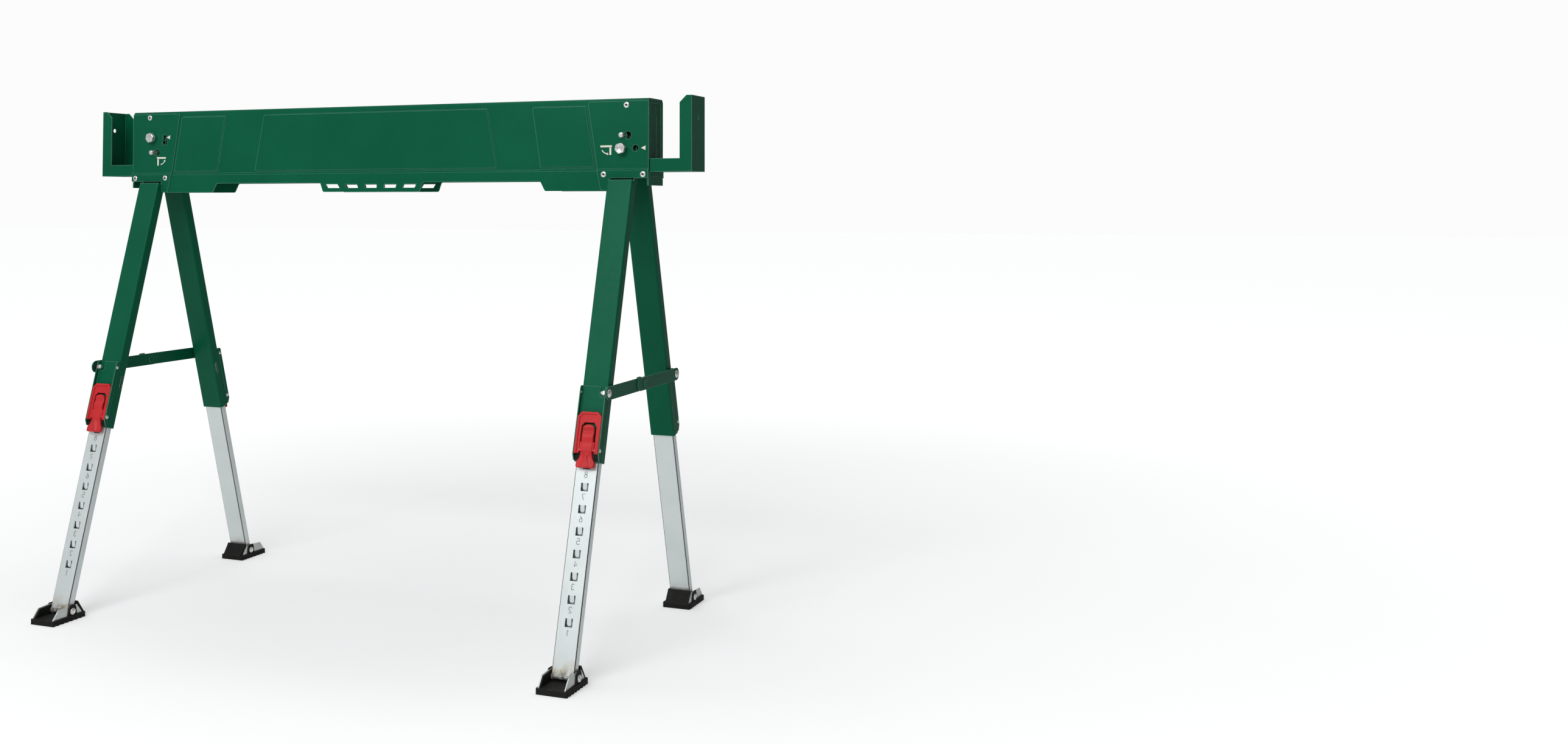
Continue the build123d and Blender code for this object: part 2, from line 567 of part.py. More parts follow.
def make_latch_frame():
    """Moulded surround of the latch lever: a raised rim round a sunk panel."""
    base = UPPER_OUT + SHEET
    outside = cut_arch(18.6, 354.5, 6.0, 6.5, FRAME_END)
    window = cut_arch(WINDOW_HALF, 369.6, 4.2, 5.0, FRAME_END)
    with BuildPart() as frame:
        with BuildSketch(facing(base)):
            with BuildLine():
                Polyline(*outside, *reversed(window), close=True)
            make_face()
        extrude(amount=RIM_N - base)
        with BuildSketch(facing(RIM_N)):
            with BuildLine():
                Polyline(*cut_arch(15.2, 358.0, 4.3, 4.8, FRAME_END + 1), close=True)
            make_face()
        extrude(amount=PANEL_N - RIM_N, mode=Mode.SUBTRACT)
        with BuildSketch(beside(-UPPER_W)):
            with Locations((PIN_N, PIN_S)):
                Circle(PIN_R)
        extrude(amount=2 * UPPER_W, mode=Mode.SUBTRACT)
    return frame.part


def make_latch_lever():
    """Rocker: a thumb pad above the pin, a flared pull with the catch tooth below."""
    with BuildPart() as lever:
        with BuildSketch(facing(PULL_N)):
            with BuildLine():
                Polyline((-9, 410), (9, 410), (9.5, 416), (15.3, 425), (15.3, 431),
                         (12.5, 433), (-12.5, 433), (-15.3, 431), (-15.3, 425),
                         (-9.5, 416), close=True)
            make_face()
        extrude(amount=PULL_T)
        pull = lever.faces().sort_by(lambda f: f.center().dot(OUT))[-1]
        chamfer(pull.edges(), length=PULL_EDGE)
        with BuildSketch(facing(THUMB_N)):
            with Locations((0, (THUMB_TOP + THUMB_END) / 2)):
                RectangleRounded(THUMB_W, THUMB_END - THUMB_TOP, 6.5)
        extrude(amount=THUMB_T)
        with BuildSketch(facing(LUG_N)):
            with Locations((0, (LUG_TOP + LUG_END) / 2)):
                Rectangle(2 * LUG_HALF, LUG_END - LUG_TOP)
        extrude(amount=LUG_T)
        with BuildSketch(beside(-BOSS_X)):
            with Locations((PIN_N, PIN_S)):
                Circle(BOSS_R)
        extrude(amount=2 * BOSS_X)
        with BuildSketch(facing(TOOTH_GAP)):
            with Locations((0, HOLE_1 - (HOLE_COUNT - 1) * HOLE_PITCH)):
                Rectangle(TOOTH_W, TOOTH_H)
        extrude(amount=TOOTH_L)
        with BuildSketch(beside(-UPPER_W)):
            with Locations((PIN_N, PIN_S)):
                Circle(PIN_R + RUN_FIT)
        extrude(amount=2 * UPPER_W, mode=Mode.SUBTRACT)
    return lever.part


def turned_on(axis_x, axis_n, axis_s, steps):
    """Adds coaxial discs along X at one leg point: steps of (start, end, radius)."""
    for start, end, radius in steps:
        with BuildSketch(beside(axis_x + start)) as disc:
            with Locations((axis_n, axis_s)):
                Circle(radius)
        extrude(disc.sketch, amount=end - start)


def make_leg_fasteners(strap):
    """Latch pin, brace bolt with washers and cap nut, and the housing's small rivet."""
    half = UPPER_W / 2
    with BuildPart() as fasteners:
        turned_on(0, PIN_N, PIN_S, [
            (-half - PIN_HEAD, -half, PIN_HEAD_R), (-half, half, PIN_R),
            (half, half + PIN_HEAD, PIN_HEAD_R)])
        turned_on(0, BRACE_N, BRACE_S, [
            (half - SHEET - 6.5, half - SHEET - 3.5, 3.0), (half - SHEET - 3.5, half - SHEET, 4.0),
            (half - SHEET, half, BRACE_R), (half, strap - 0.1, 6.2),
            (strap - 0.1, strap + SHEET + 0.1, BRACE_R),
            (strap + SHEET + 0.1, strap + SHEET + 2.7, 6.0)])
        turned_on(0, BRACE_N, BRACE_S, [
            (-half - 0.7, -half, 2.6), (-half, -half + SHEET, 1.5),
            (-half + SHEET, -half + SHEET + 0.9, 2.6)])
    return fasteners.part


def make_glide():
    """Nylon guide at the mouth of the upper tube."""
    with BuildPart() as glide:
        with BuildSketch(across(GLIDE_TOP)):
            with Locations((0, UPPER_MID)):
                RectangleRounded(UPPER_W - 2 * SHEET, UPPER_D - 2 * SHEET, 1.0)
            with Locations((0, LOWER_MID)):
                RectangleRounded(LOWER_W + 0.2, LOWER_D + 0.2, 2.1, mode=Mode.SUBTRACT)
        extrude(amount=UPPER_END - GLIDE_TOP)
        with BuildSketch(facing(UPPER_OUT)):
            with Locations((0, 402)):
                Rectangle(WINDOW_W, 60)
        extrude(amount=-5, mode=Mode.SUBTRACT)
    return glide.part


def make_tongues(stops):
    """The tongues bent inward from each latch hole, with rounded ends."""
    with BuildPart() as tongues:
        for s in stops:
            with BuildSketch(beside(-TONGUE_W / 2)):
                with BuildLine():
                    Polyline((0, s - 6.4), (0, s - 5.6), (-2.4, s + 3.8), (-3.7, s + 3.5),
                             (-SHEET, s - 6.4), close=True)
                make_face()
            extrude(amount=TONGUE_W)
        with BuildSketch(facing(0)):
            with Locations(*[(0, s - 2.6) for s in stops]):
                RectangleRounded(TONGUE_W, 12.8, 2.6)
        extrude(amount=-SHEET - 4, mode=Mode.INTERSECT)
    return tongues.part


def make_lower_tube():
    """Plated lower leg with eight latch holes, their tongues and the foot's pivot sleeve."""
    holes = [HOLE_1 - i * HOLE_PITCH for i in range(HOLE_COUNT)]
    with BuildPart() as tube:
        with BuildSketch(across(LOWER_TOP)):
            with Locations((0, LOWER_MID)):
                RectangleRounded(LOWER_W, LOWER_D, 2.0)
                RectangleRounded(LOWER_W - 2 * SHEET, LOWER_D - 2 * SHEET, 0.6,
                                 mode=Mode.SUBTRACT)
        extrude(amount=LOWER_END - LOWER_TOP)
        for x in (-LOWER_W / 2, LOWER_W / 2 - SHEET):
            with BuildSketch(beside(x)):
                with Locations((LOWER_MID, FOOT_S - 4)):
                    Rectangle(2 * FOOT_EAR_R - 3, 8)
                with Locations((LOWER_MID, FOOT_S)):
                    Circle(FOOT_EAR_R)
            extrude(amount=SHEET)
        with BuildSketch(beside(SHEET / 2 - LOWER_W / 2)):
            with Locations((LOWER_MID, FOOT_S)):
                Circle(SLEEVE_R)
        extrude(amount=LOWER_W - SHEET)
        with BuildSketch(beside(-LOWER_W)):
            with Locations((LOWER_MID, FOOT_S)):
                Circle(FOOT_R + RUN_FIT)
        extrude(amount=2 * LOWER_W, mode=Mode.SUBTRACT)
        with BuildSketch(facing(0)):
            with Locations(*[(0, s) for s in holes]):
                RectangleRounded(HOLE_SIZE, HOLE_SIZE, 0.6)
        extrude(amount=-SHEET, mode=Mode.SUBTRACT)
        add(make_tongues(holes))
    return tube.part


def make_foot_bracket():
    """Plated channel inside the foot, pivoted on the lower tube."""
    low, high = SOLE_T, FOOT_AXIS.Z + 9
    with BuildPart() as bracket:
        with BuildSketch(upright(LEG_X - EAR_OUT)):
            with BuildLine():
                Polyline((BASE_OUT, low), (BASE_OUT, 9.0), (-240, high - 1.2),
                         (-221, high), (-203.5, high), (BASE_IN, 9.5), (BASE_IN, low),
                         close=True)
            make_face()
            with Locations((FOOT_AXIS.Y, FOOT_AXIS.Z)):
                Circle(FOOT_R, mode=Mode.SUBTRACT)
        extrude(amount=2 * EAR_OUT)
        with BuildSketch(upright(LEG_X - EAR_IN)):
            with Locations((-220, low + BASE_T + 20)):
                Rectangle(90, 40)
        extrude(amount=2 * EAR_IN, mode=Mode.SUBTRACT)
    return bracket.part


def make_foot_pad():
    """Rubber shoe: ribbed sole, heel wall, lining and a cheek over each bracket ear."""
    rim = SOLE_T + BASE_T + LINER_T
    base_y, base_len = (BASE_OUT + BASE_IN) / 2, BASE_IN - BASE_OUT
    with BuildPart() as pad:
        with Locations((LEG_X, (SOLE_OUT + SOLE_IN) / 2, rim / 2)):
            Box(2 * SOLE_X, SOLE_IN - SOLE_OUT, rim)
        fillet(pad.edges().filter_by(Axis.Z), radius=2.5)
        with Locations((LEG_X, base_y, SOLE_T + BASE_T / 2)):
            Box(2 * EAR_OUT, base_len, BASE_T, mode=Mode.SUBTRACT)
        for s in (-1, 1):
            with Locations((LEG_X + s * (EAR_IN + EAR_OUT) / 2, base_y, rim)):
                Box(EAR_OUT - EAR_IN, base_len, 2 * LINER_T, mode=Mode.SUBTRACT)
        for i in range(RIB_COUNT):
            with Locations((LEG_X, SOLE_OUT + RIB_START + RIB_PITCH * i, RIB_DEPTH / 2)):
                Box(2 * SOLE_X, RIB_GAP, RIB_DEPTH, mode=Mode.SUBTRACT)
        with BuildSketch(upright(LEG_X - EAR_IN)):
            with BuildLine():
                Polyline((SOLE_OUT + 4, rim), (-238.6, 20.6), (-221, 21.8), (-203, 22),
                         (-201.8, 26.5), (-199, 27), (SOLE_IN + 0.5, rim), close=True)
            make_face()
            with Locations((FOOT_AXIS.Y, FOOT_AXIS.Z)):
                Circle(FOOT_R, mode=Mode.SUBTRACT)
        extrude(amount=2 * EAR_IN)
        with BuildSketch(upright(LEG_X - EAR_IN + 1.2)):
            with BuildLine():
                Polyline((-250, rim), (-190.2, rim), (-201.8, 26.4), (-201.8, 40),
                         (-250, 40), close=True)
            make_face()
        extrude(amount=2 * EAR_IN - 2.4, mode=Mode.SUBTRACT)
        for x in (LEG_X - CHEEK_OUT, LEG_X + EAR_OUT):
            with BuildSketch(upright(x)):
                with BuildLine():
                    Polyline((-222, rim - 1), (-220, 20), (-217.5, 24.4), (-208, 24.4),
                             (-205.5, 20), (-203.5, rim - 1), close=True)
                make_face()
                with Locations((FOOT_AXIS.Y, FOOT_AXIS.Z)):
                    Circle(FOOT_R, mode=Mode.SUBTRACT)
            extrude(amount=CHEEK_OUT - EAR_OUT)
    return pad.part


def make_foot_bolt():
    with BuildPart() as bolt:
        turned_on(0, LOWER_MID, FOOT_S, [
            (-CHEEK_OUT - FOOT_HEAD, -CHEEK_OUT, FOOT_HEAD_R),
            (-CHEEK_OUT, CHEEK_OUT, FOOT_R),
            (CHEEK_OUT, CHEEK_OUT + FOOT_HEAD, FOOT_HEAD_R)])
    return bolt.part


def make_strap(offset, tail, head_side, lip):
    """A brace strap made on the front side, with its half of the centre rivet.

    The rivet head is on the outboard side when head_side is 1. A lipped strap folds
    over the top of the other one and stops the brace from bending below straight.
    """
    y0, z0 = BRACE_BOLT.Y, BRACE_BOLT.Z
    top = z0 + STRAP_W / 2 + 0.3
    with BuildPart() as strap:
        with BuildSketch(upright(LEG_X + offset)):
            with Locations(((y0 - STRAP_W / 2 + tail) / 2, z0)):
                SlotOverall(tail - y0 + STRAP_W / 2, STRAP_W)
            if lip:
                with Locations(((LIP_START + LIP_END) / 2, top - 3)):
                    Rectangle(LIP_END - LIP_START, 6 + 2 * SHEET)
            with Locations((y0, z0)):
                Circle(BRACE_R + RUN_FIT, mode=Mode.SUBTRACT)
        extrude(amount=SHEET)
        with BuildSketch(upright(LEG_X + (offset + SHEET if head_side > 0 else offset))):
            with Locations((0, z0)):
                Circle(CENTRE_RIVET_R)
        extrude(amount=CENTRE_RIVET_H * head_side)
        if lip:
            with BuildSketch(upright(LEG_X + FRONT_STRAP)):
                with Locations(((LIP_START + LIP_END) / 2, top + SHEET / 2)):
                    Rectangle(LIP_END - LIP_START, SHEET)
            extrude(amount=offset - FRONT_STRAP)
    return strap.part


def make_front_strap():
    return make_strap(FRONT_STRAP, STRAP_FRONT_TAIL, -1, lip=False)


def make_back_strap():
    strap = make_strap(BACK_STRAP, STRAP_BACK_TAIL, 1, lip=True)
    return mirror(strap, about=Plane.XZ, mode=Mode.PRIVATE)


save(make_beam_shell(), "beam_shell")
save(make_plate_rivets(), "plate_rivets")
save(make_fold_bolts(), "fold_bolts")
save(make_hinge_pins(), "hinge_pins")
end_plate, bracket = make_end_plate(), make_l_bracket()
save(end_plate, "end_plate_right")
save(mirror(end_plate, about=Plane.YZ, mode=Mode.PRIVATE), "end_plate_left")
save(bracket, "l_bracket_right")
save(mirror(bracket, about=Plane.YZ, mode=Mode.PRIVATE), "l_bracket_left")
for end in SIDES:
    save(make_yoke(end), f"yoke_{end}")
    save(make_lock_pin(end), f"lock_pin_{end}")
    for face_row in ("front", "back"):
        save(make_side_plate(end, face_row), f"side_plate_{face_row}_{end}")

save_corners(make_leg_tube(), "leg_tube")
save_corners(make_latch_housing(), "latch_housing")
save_corners(make_latch_frame(), "latch_frame")
save_corners(make_latch_lever(), "latch_lever")
save_corners(
    make_leg_fasteners(FRONT_STRAP), "leg_fasteners",
    back=mirror(make_leg_fasteners(BACK_STRAP), about=Plane.XZ, mode=Mode.PRIVATE))
save_corners(make_glide(), "glide")
save_corners(make_lower_tube(), "lower_tube")
save_corners(make_foot_bracket(), "foot_bracket")
save_corners(make_foot_pad(), "foot_pad")
save_corners(make_foot_bolt(), "foot_bolt")
save_corners(make_front_strap(), "brace_strap", back=make_back_strap())
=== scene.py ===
"""Looks of the folding sawhorse: paint, plating, rubber, printed marks and fasteners."""
import bpy
import bmesh
import json
import math
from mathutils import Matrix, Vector


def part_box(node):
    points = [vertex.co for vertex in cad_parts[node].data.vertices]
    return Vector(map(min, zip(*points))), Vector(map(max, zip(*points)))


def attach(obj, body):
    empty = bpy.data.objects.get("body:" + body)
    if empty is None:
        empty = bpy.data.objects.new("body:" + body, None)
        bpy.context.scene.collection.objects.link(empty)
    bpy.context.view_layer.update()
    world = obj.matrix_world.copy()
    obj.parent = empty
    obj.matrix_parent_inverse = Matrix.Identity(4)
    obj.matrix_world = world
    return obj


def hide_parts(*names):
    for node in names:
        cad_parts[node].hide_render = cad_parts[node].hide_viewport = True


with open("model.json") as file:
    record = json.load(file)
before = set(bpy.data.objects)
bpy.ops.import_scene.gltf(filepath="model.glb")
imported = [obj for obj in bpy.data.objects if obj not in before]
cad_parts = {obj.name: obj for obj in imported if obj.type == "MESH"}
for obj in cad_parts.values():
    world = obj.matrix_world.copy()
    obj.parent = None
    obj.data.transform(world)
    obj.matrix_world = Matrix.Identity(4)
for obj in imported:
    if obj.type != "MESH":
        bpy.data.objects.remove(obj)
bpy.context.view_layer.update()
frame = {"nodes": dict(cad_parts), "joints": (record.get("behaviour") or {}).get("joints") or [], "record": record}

MM = 0.001
ROWS = {"front": 1, "back": -1}
ENDS = {"left": -1, "right": 1}
CORNERS = [(row, end) for row in ROWS for end in ENDS]
JOINTS = {joint["name"]: joint for joint in frame["joints"]}

# the leg's own sizes, in mm: x across, n outward from the lower tube's face, s down the leg
PIN_N, PIN_S, PIN_R = 6.4, 407.6, 1.8
HALF_LEG = 20.5
BRACE_N, BRACE_S = 6.6, 327.0
BRACE_BOLT_R, BRACE_HEAD_R, BRACE_HEAD_H, BRACE_BOLT_START = 2.5, 6.0, 2.4, 12.5
BRACE_NUT_HALF, BRACE_NUT_START, BRACE_NUT_H = 3.9, -19.0, 3.2
CAP_R, CAP_START, CAP_H = 3.6, -15.9, 3.7
WASHER_R, WASHER_RIM, WASHER_H, WASHER_GAP = 6.2, 0.25, 1.2, 0.1
PIN_HEAD_R, PIN_HEAD_H = 3.0, 0.9
HOUSING_RIVET_R, HOUSING_RIVET_HEAD_R, HOUSING_RIVET_HEAD_H, HOUSING_RIVET_START = 1.5, 2.6, 0.8, 18
STRAP_OUT = {"front": 24.6, "back": 26.4}
STRAP_IN = {"front": 23.1, "back": 24.9}
HOLE_1, HOLE_PITCH, HOLE_COUNT = 640.0, 30.3, 8
FOOT_S, FOOT_N, FOOT_CHEEK, FOOT_BOLT_R = 709.5, -6.15, 22.3, 3

# latch frame and lever
FRAME_BASE, PANEL_FACE, RIM_FACE = 4.0, 8.5, 10.2
RIM_FOOT, PANEL_FOOT = 413.0, 412.4
LEVER_TOP, LEVER_CREASE, LEVER_END, LEVER_BACK = 372.0, 410.5, 432.6, 5.2
LEVER_EDGE = 1.3                      # rounding round the lever's outer face
THUMB_HALF, THUMB_ROUND = 8.8, 6.5    # the thumb pad's half width and round end
LUG_TOP, LUG_END, LUG_INNER, LUG_HALF, LUG_FACE = 396.5, 409.8, 8.0, 11.2, 8.9
TOOTH_HALF_X, TOOTH_HALF_S, TOOTH_TIP = 3.3, 2.2, 0.4
# sizes of the black strip at the tube's mouth: the guide's edge and painted shade
LIP_SHADE_TOP, LIP_SHADE_END, LIP_SHADE_INNER, LIP_SHADE_HALF, LIP_SHADE_THICK = 413.3, 422.2, 10.5, 18.8, 0.8

# fasteners of the beam
RIVET_HEAD_H = 1.6
FOLD_HEX_HALF, FOLD_HEAD_H, FOLD_NUT_H, FOLD_BOLT_R = 7.3, 6.4, 7.8, 5
LOCK_PIN_R, LOCK_PIN_ROUND, LOCK_SHOULDER_R, LOCK_SHOULDER_H = 4, 1.6, 6, 2

# printed marks; the beam's stand on the face of the front side plates
NUMERAL_DROP, NUMERAL_HEIGHT, NUMERAL_STROKE = 13.4, 8.0, 0.8
PRINT_RISE = 0.1
PLATE_FACE = -27.62
RELEASE_TIPS = {"left": (-412.7, 768.9), "right": (472.8, 738.4)}
RELEASE_LENGTH, RELEASE_HALF = 7.3, 3.5
FOLD_CORNERS = {"left": (-433.0, 735.3), "right": (425.2, 742.9)}


# ---------------------------------------------------------------- mesh helpers

def make_object(name, mesh, body, material):
    piece = bpy.data.objects.new(name, mesh)
    bpy.context.scene.collection.objects.link(piece)
    mesh.materials.append(material)
    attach(piece, body)
    return piece


def mesh_from(bm, name, smooth_deg=35):
    bmesh.ops.remove_doubles(bm, verts=bm.verts, dist=1e-6)
    bmesh.ops.recalc_face_normals(bm, faces=bm.faces)
    mesh = bpy.data.meshes.new(name)
    bm.to_mesh(mesh)
    bm.free()
    mesh.polygons.foreach_set("use_smooth", [True] * len(mesh.polygons))
    mesh.set_sharp_from_angle(angle=math.radians(smooth_deg))
    return mesh


def soften(piece, width, segments=2, angle=40):
    """Rounds a piece's sharp edges and keeps its flat faces evenly shaded."""
    bevel = piece.modifiers.new("soften", "BEVEL")
    bevel.width = width * MM
    bevel.segments = segments
    bevel.limit_method = "ANGLE"
    bevel.angle_limit = math.radians(angle)
    normals = piece.modifiers.new("even_normals", "WEIGHTED_NORMAL")
    normals.keep_sharp = True


def ring_points(origin, axis, radius, height, turns):
    """Points, in metres, round an axis; radius and height, in mm, can be functions of the angle."""
    axis = Vector(axis).normalized()
    side = axis.orthogonal().normalized()
    other = axis.cross(side)
    points = []
    for i in range(turns):
        angle = 2 * math.pi * i / turns
        r = radius(angle) if callable(radius) else radius
        h = height(angle) if callable(height) else height
        outward = side * math.cos(angle) + other * math.sin(angle)
        points.append(origin + axis * h * MM + outward * r * MM)
    return points


def lathe(bm, origin, axis, profile, turns=40):
    """Joins rings of (radius, height), in mm, about an axis; a zero radius closes the end."""
    rings = []
    for radius, height in profile:
        if radius == 0:
            rings.append([bm.verts.new(origin + Vector(axis).normalized() * height * MM)])
        else:
            rings.append([bm.verts.new(p) for p in ring_points(origin, axis, radius, height, turns)])
    for low, high in zip(rings, rings[1:]):
        for i in range(turns):
            j = (i + 1) % turns
            corners = [low[i % len(low)], low[j % len(low)], high[j % len(high)], high[i % len(high)]]
            unique = list(dict.fromkeys(corners))
            if len(unique) > 2:
                bm.faces.new(unique)


def dome(radius, base, height, steps=7):
    """Profile of a domed head from its flat base up to its crown."""
    curve = [(radius * math.cos(t), base + height * math.sin(t))
             for t in (math.pi / 2 * i / steps for i in range(steps))]
    return [(0, base - 0.01), (radius * 0.98, base - 0.01)] + curve + [(0, base + height)]


def hex_head(bm, origin, axis, half_flats, base, height, crown=None):
    """A hexagon head or nut whose corners are turned off by a 30 degree chamfer."""
    def outline(angle):
        return half_flats / math.cos((angle + math.pi / 6) % (math.pi / 3) - math.pi / 6)

    def chamfer(angle):
        return base + height - (outline(angle) - 0.95 * half_flats) * math.tan(math.radians(30))

    top = crown or [(0, base + height - 0.25), (0.62 * half_flats, base + height - 0.25),
                    (0.70 * half_flats, base + height)]
    lathe(bm, origin, axis, [(0, base), (outline, base), (outline, chamfer),
                             (0.95 * half_flats, base + height)] + list(reversed(top)), turns=72)


def prism(bm, points, rise):
    """Extrudes a flat ring of points by the vector rise."""
    low = [bm.verts.new(p) for p in points]
    high = [bm.verts.new(Vector(p) + rise) for p in points]
    bm.faces.new(low)
    bm.faces.new(list(reversed(high)))
    for i in range(len(points)):
        j = (i + 1) % len(points)
        bm.faces.new([low[i], high[i], high[j], low[j]])


def stroke_outline(path, width):
    """The outline, as 2-D points, of a pen stroke along an open path."""
    left, right = [], []
    for i, here in enumerate(path):
        before, after = path[max(i - 1, 0)], path[min(i + 1, len(path) - 1)]
        along = (Vector(after) - Vector(before)).normalized()
        side = Vector((-along.y, along.x)) * width / 2
        left.append(Vector(here) + side)
        right.append(Vector(here) - side)
    return left + right[::-1]


def arc(centre, radius, start, end, steps=14):
    """2-D points along an arc, from one angle to another, in degrees."""
    angles = [math.radians(start + (end - start) * i / steps) for i in range(steps + 1)]
    return [(centre[0] + radius * math.cos(a), centre[1] + radius * math.sin(a)) for a in angles]


def islands(node):
    """The box, in metres, of each separate solid in a CAD node."""
    bm = bmesh.new()
    bm.from_mesh(frame["nodes"][node].data)
    bmesh.ops.remove_doubles(bm, verts=bm.verts, dist=1e-6)
    left, boxes = set(bm.verts), []
    while left:
        front = [left.pop()]
        found = list(front)
        while front:
            near = {edge.other_vert(vert) for vert in front for edge in vert.link_edges} & left
            left -= near
            front = list(near)
            found += front
        boxes.append([Vector(pick(v.co[i] for v in found) for i in range(3)) for pick in (min, max)])
    bm.free()
    return sorted(boxes, key=lambda box: tuple(round(c, 5) for c in box[0]))


# ---------------------------------------------------------------- leg coordinates

class Leg:
    """One leg's own coordinates: x across (positive outboard), n outward, s down, in mm."""

    def __init__(self, row, end):
        self.key = f"{row}_{end}"
        self.row, self.end = row, end
        self.pin = Vector(JOINTS[f"lever_{self.key}"]["pos_m"])
        self.down = -Vector(JOINTS[f"height_{self.key}"]["axis"]).normalized()
        self.across = Vector((ENDS[end], 0, 0))
        self.out = Vector((0, -ROWS[row], 0))
        self.out = (self.out - self.down * self.out.dot(self.down)).normalized()

    def at(self, x, n, s):
        """The point, in metres, at the leg's own (x, n, s)."""
        return self.pin + (self.across * x + self.out * (n - PIN_N) + self.down * (s - PIN_S)) * MM

    def slab(self, bm, outline, low, high):
        """A prism on an (x, s) outline, from one height above the tube to another."""
        prism(bm, [self.at(x, low, s) for x, s in outline], self.out * (high - low) * MM)


LEGS = [Leg(row, end) for row, end in CORNERS]


# ---------------------------------------------------------------- materials

class Nodes:
    """A material's node tree with short calls for what the materials here need."""

    def __init__(self, name):
        self.material = bpy.data.materials.new(name)
        self.material.use_nodes = True
        self.tree = self.material.node_tree
        self.shader = self.tree.nodes["Principled BSDF"]
        self.where = self.add("ShaderNodeTexCoord").outputs["Object"]

    def add(self, kind, **settings):
        node = self.tree.nodes.new(kind)
        for name, value in settings.items():
            setattr(node, name, value)
        return node

    def link(self, source, target):
        self.tree.links.new(source, target)

    def noise(self, scale, detail=3.0, stretch=(1, 1, 1)):
        spread = self.add("ShaderNodeMapping")
        spread.inputs["Scale"].default_value = stretch
        self.link(self.where, spread.inputs["Vector"])
        node = self.add("ShaderNodeTexNoise")
        node.inputs["Scale"].default_value = scale
        node.inputs["Detail"].default_value = detail
        self.link(spread.outputs["Vector"], node.inputs["Vector"])
        return node.outputs["Fac"]

    def remap(self, source, low, high, out_low, out_high):
        node = self.add("ShaderNodeMapRange")
        limits = {"From Min": low, "From Max": high, "To Min": out_low, "To Max": out_high}
        for name, value in limits.items():
            node.inputs[name].default_value = value
        self.link(source, node.inputs["Value"])
        return node.outputs["Result"]

    def times(self, one, other):
        node = self.add("ShaderNodeMath", operation="MULTIPLY")
        self.link(one, node.inputs[0])
        self.link(other, node.inputs[1])
        return node.outputs["Value"]

    def height(self):
        """Height above the floor of the piece at rest."""
        split = self.add("ShaderNodeSeparateXYZ")
        self.link(self.where, split.inputs["Vector"])
        return split.outputs["Z"]

    def mix(self, factor, colour_a, colour_b):
        node = self.add("ShaderNodeMix", data_type="RGBA")
        self.link(factor, node.inputs[0])
        for index, colour in ((6, colour_a), (7, colour_b)):
            if isinstance(colour, tuple):
                node.inputs[index].default_value = (*colour, 1)
            else:
                self.link(colour, node.inputs[index])
        return node.outputs[2]

    def edges(self, reach=0.9):
        """1 along edges and 0 on faces: how far a rounded normal leans off the face; the materials here paint
        their edge highlights with it.
        """
        rounded = self.add("ShaderNodeBevel", samples=6)
        rounded.inputs["Radius"].default_value = reach * MM
        lean = self.add("ShaderNodeVectorMath", operation="DOT_PRODUCT")
        self.link(rounded.outputs["Normal"], lean.inputs[0])
        self.link(self.add("ShaderNodeNewGeometry").outputs["Normal"], lean.inputs[1])
        return self.remap(lean.outputs["Value"], 0.985, 0.84, 0, 1)

    def corners(self):
        """1 where a surface rounds from facing along X to square to it; the zinc tube paints shade there."""
        split = self.add("ShaderNodeSeparateXYZ")
        self.link(self.add("ShaderNodeNewGeometry").outputs["True Normal"], split.inputs["Vector"])
        sideways = self.add("ShaderNodeMath", operation="ABSOLUTE")
        self.link(split.outputs["X"], sideways.inputs[0])
        lean = sideways.outputs["Value"]
        return self.times(self.remap(lean, 0.15, 0.4, 0, 1), self.remap(lean, 0.8, 0.98, 1, 0))

    def bump(self, height, strength, distance):
        node = self.add("ShaderNodeBump")
        node.inputs["Strength"].default_value = strength
        node.inputs["Distance"].default_value = distance
        self.link(height, node.inputs["Height"])
        self.link(node.outputs["Normal"], self.shader.inputs["Normal"])

    def paint(self, colour):
        self.link(colour, self.shader.inputs["Base Color"])

    def gloss(self, source, low, high):
        self.link(self.remap(source, 0.3, 0.7, low, high), self.shader.inputs["Roughness"])

    def set(self, **values):
        for name, value in values.items():
            self.shader.inputs[name.replace("_", " ")].default_value = value


def powder_coat(name="powder_coat_green"):
    """Satin dark green powder coat with fine orange peel, faint clouding and a painted highlight along its edges.
    """
    m = Nodes(name)
    cloud = m.remap(m.noise(9, 4), 0.35, 0.7, 0, 1)
    base = m.mix(cloud, (0.0005, 0.098, 0.046), (0.0015, 0.112, 0.054))
    # pale green along the edges: a painted highlight
    m.paint(m.mix(m.edges(1.4), base, (0.150, 0.380, 0.270)))
    m.gloss(m.noise(160, 3), 0.34, 0.44)
    m.bump(m.noise(900, 2), 0.10, 0.0003)
    m.set(Specular_IOR_Level=0.2, Specular_Tint=(0.5, 1.0, 0.8, 1))
    return m.material


def zinc(name, light, dark, grain, roughness, metallic):
    """Zinc plating: fine lengthwise brushing, soft clouding and slightly duller patches."""
    m = Nodes(name)
    cloud = m.remap(m.noise(22, 5), 0.35, 0.68, 0, 1)
    brushed = m.noise(grain, 4, stretch=(1, 0.08, 0.08))
    m.paint(m.mix(cloud, light, dark))
    m.gloss(brushed, roughness - 0.06, roughness + 0.08)
    m.bump(brushed, 0.05, 0.0002)
    m.set(Metallic=metallic)
    return m.material


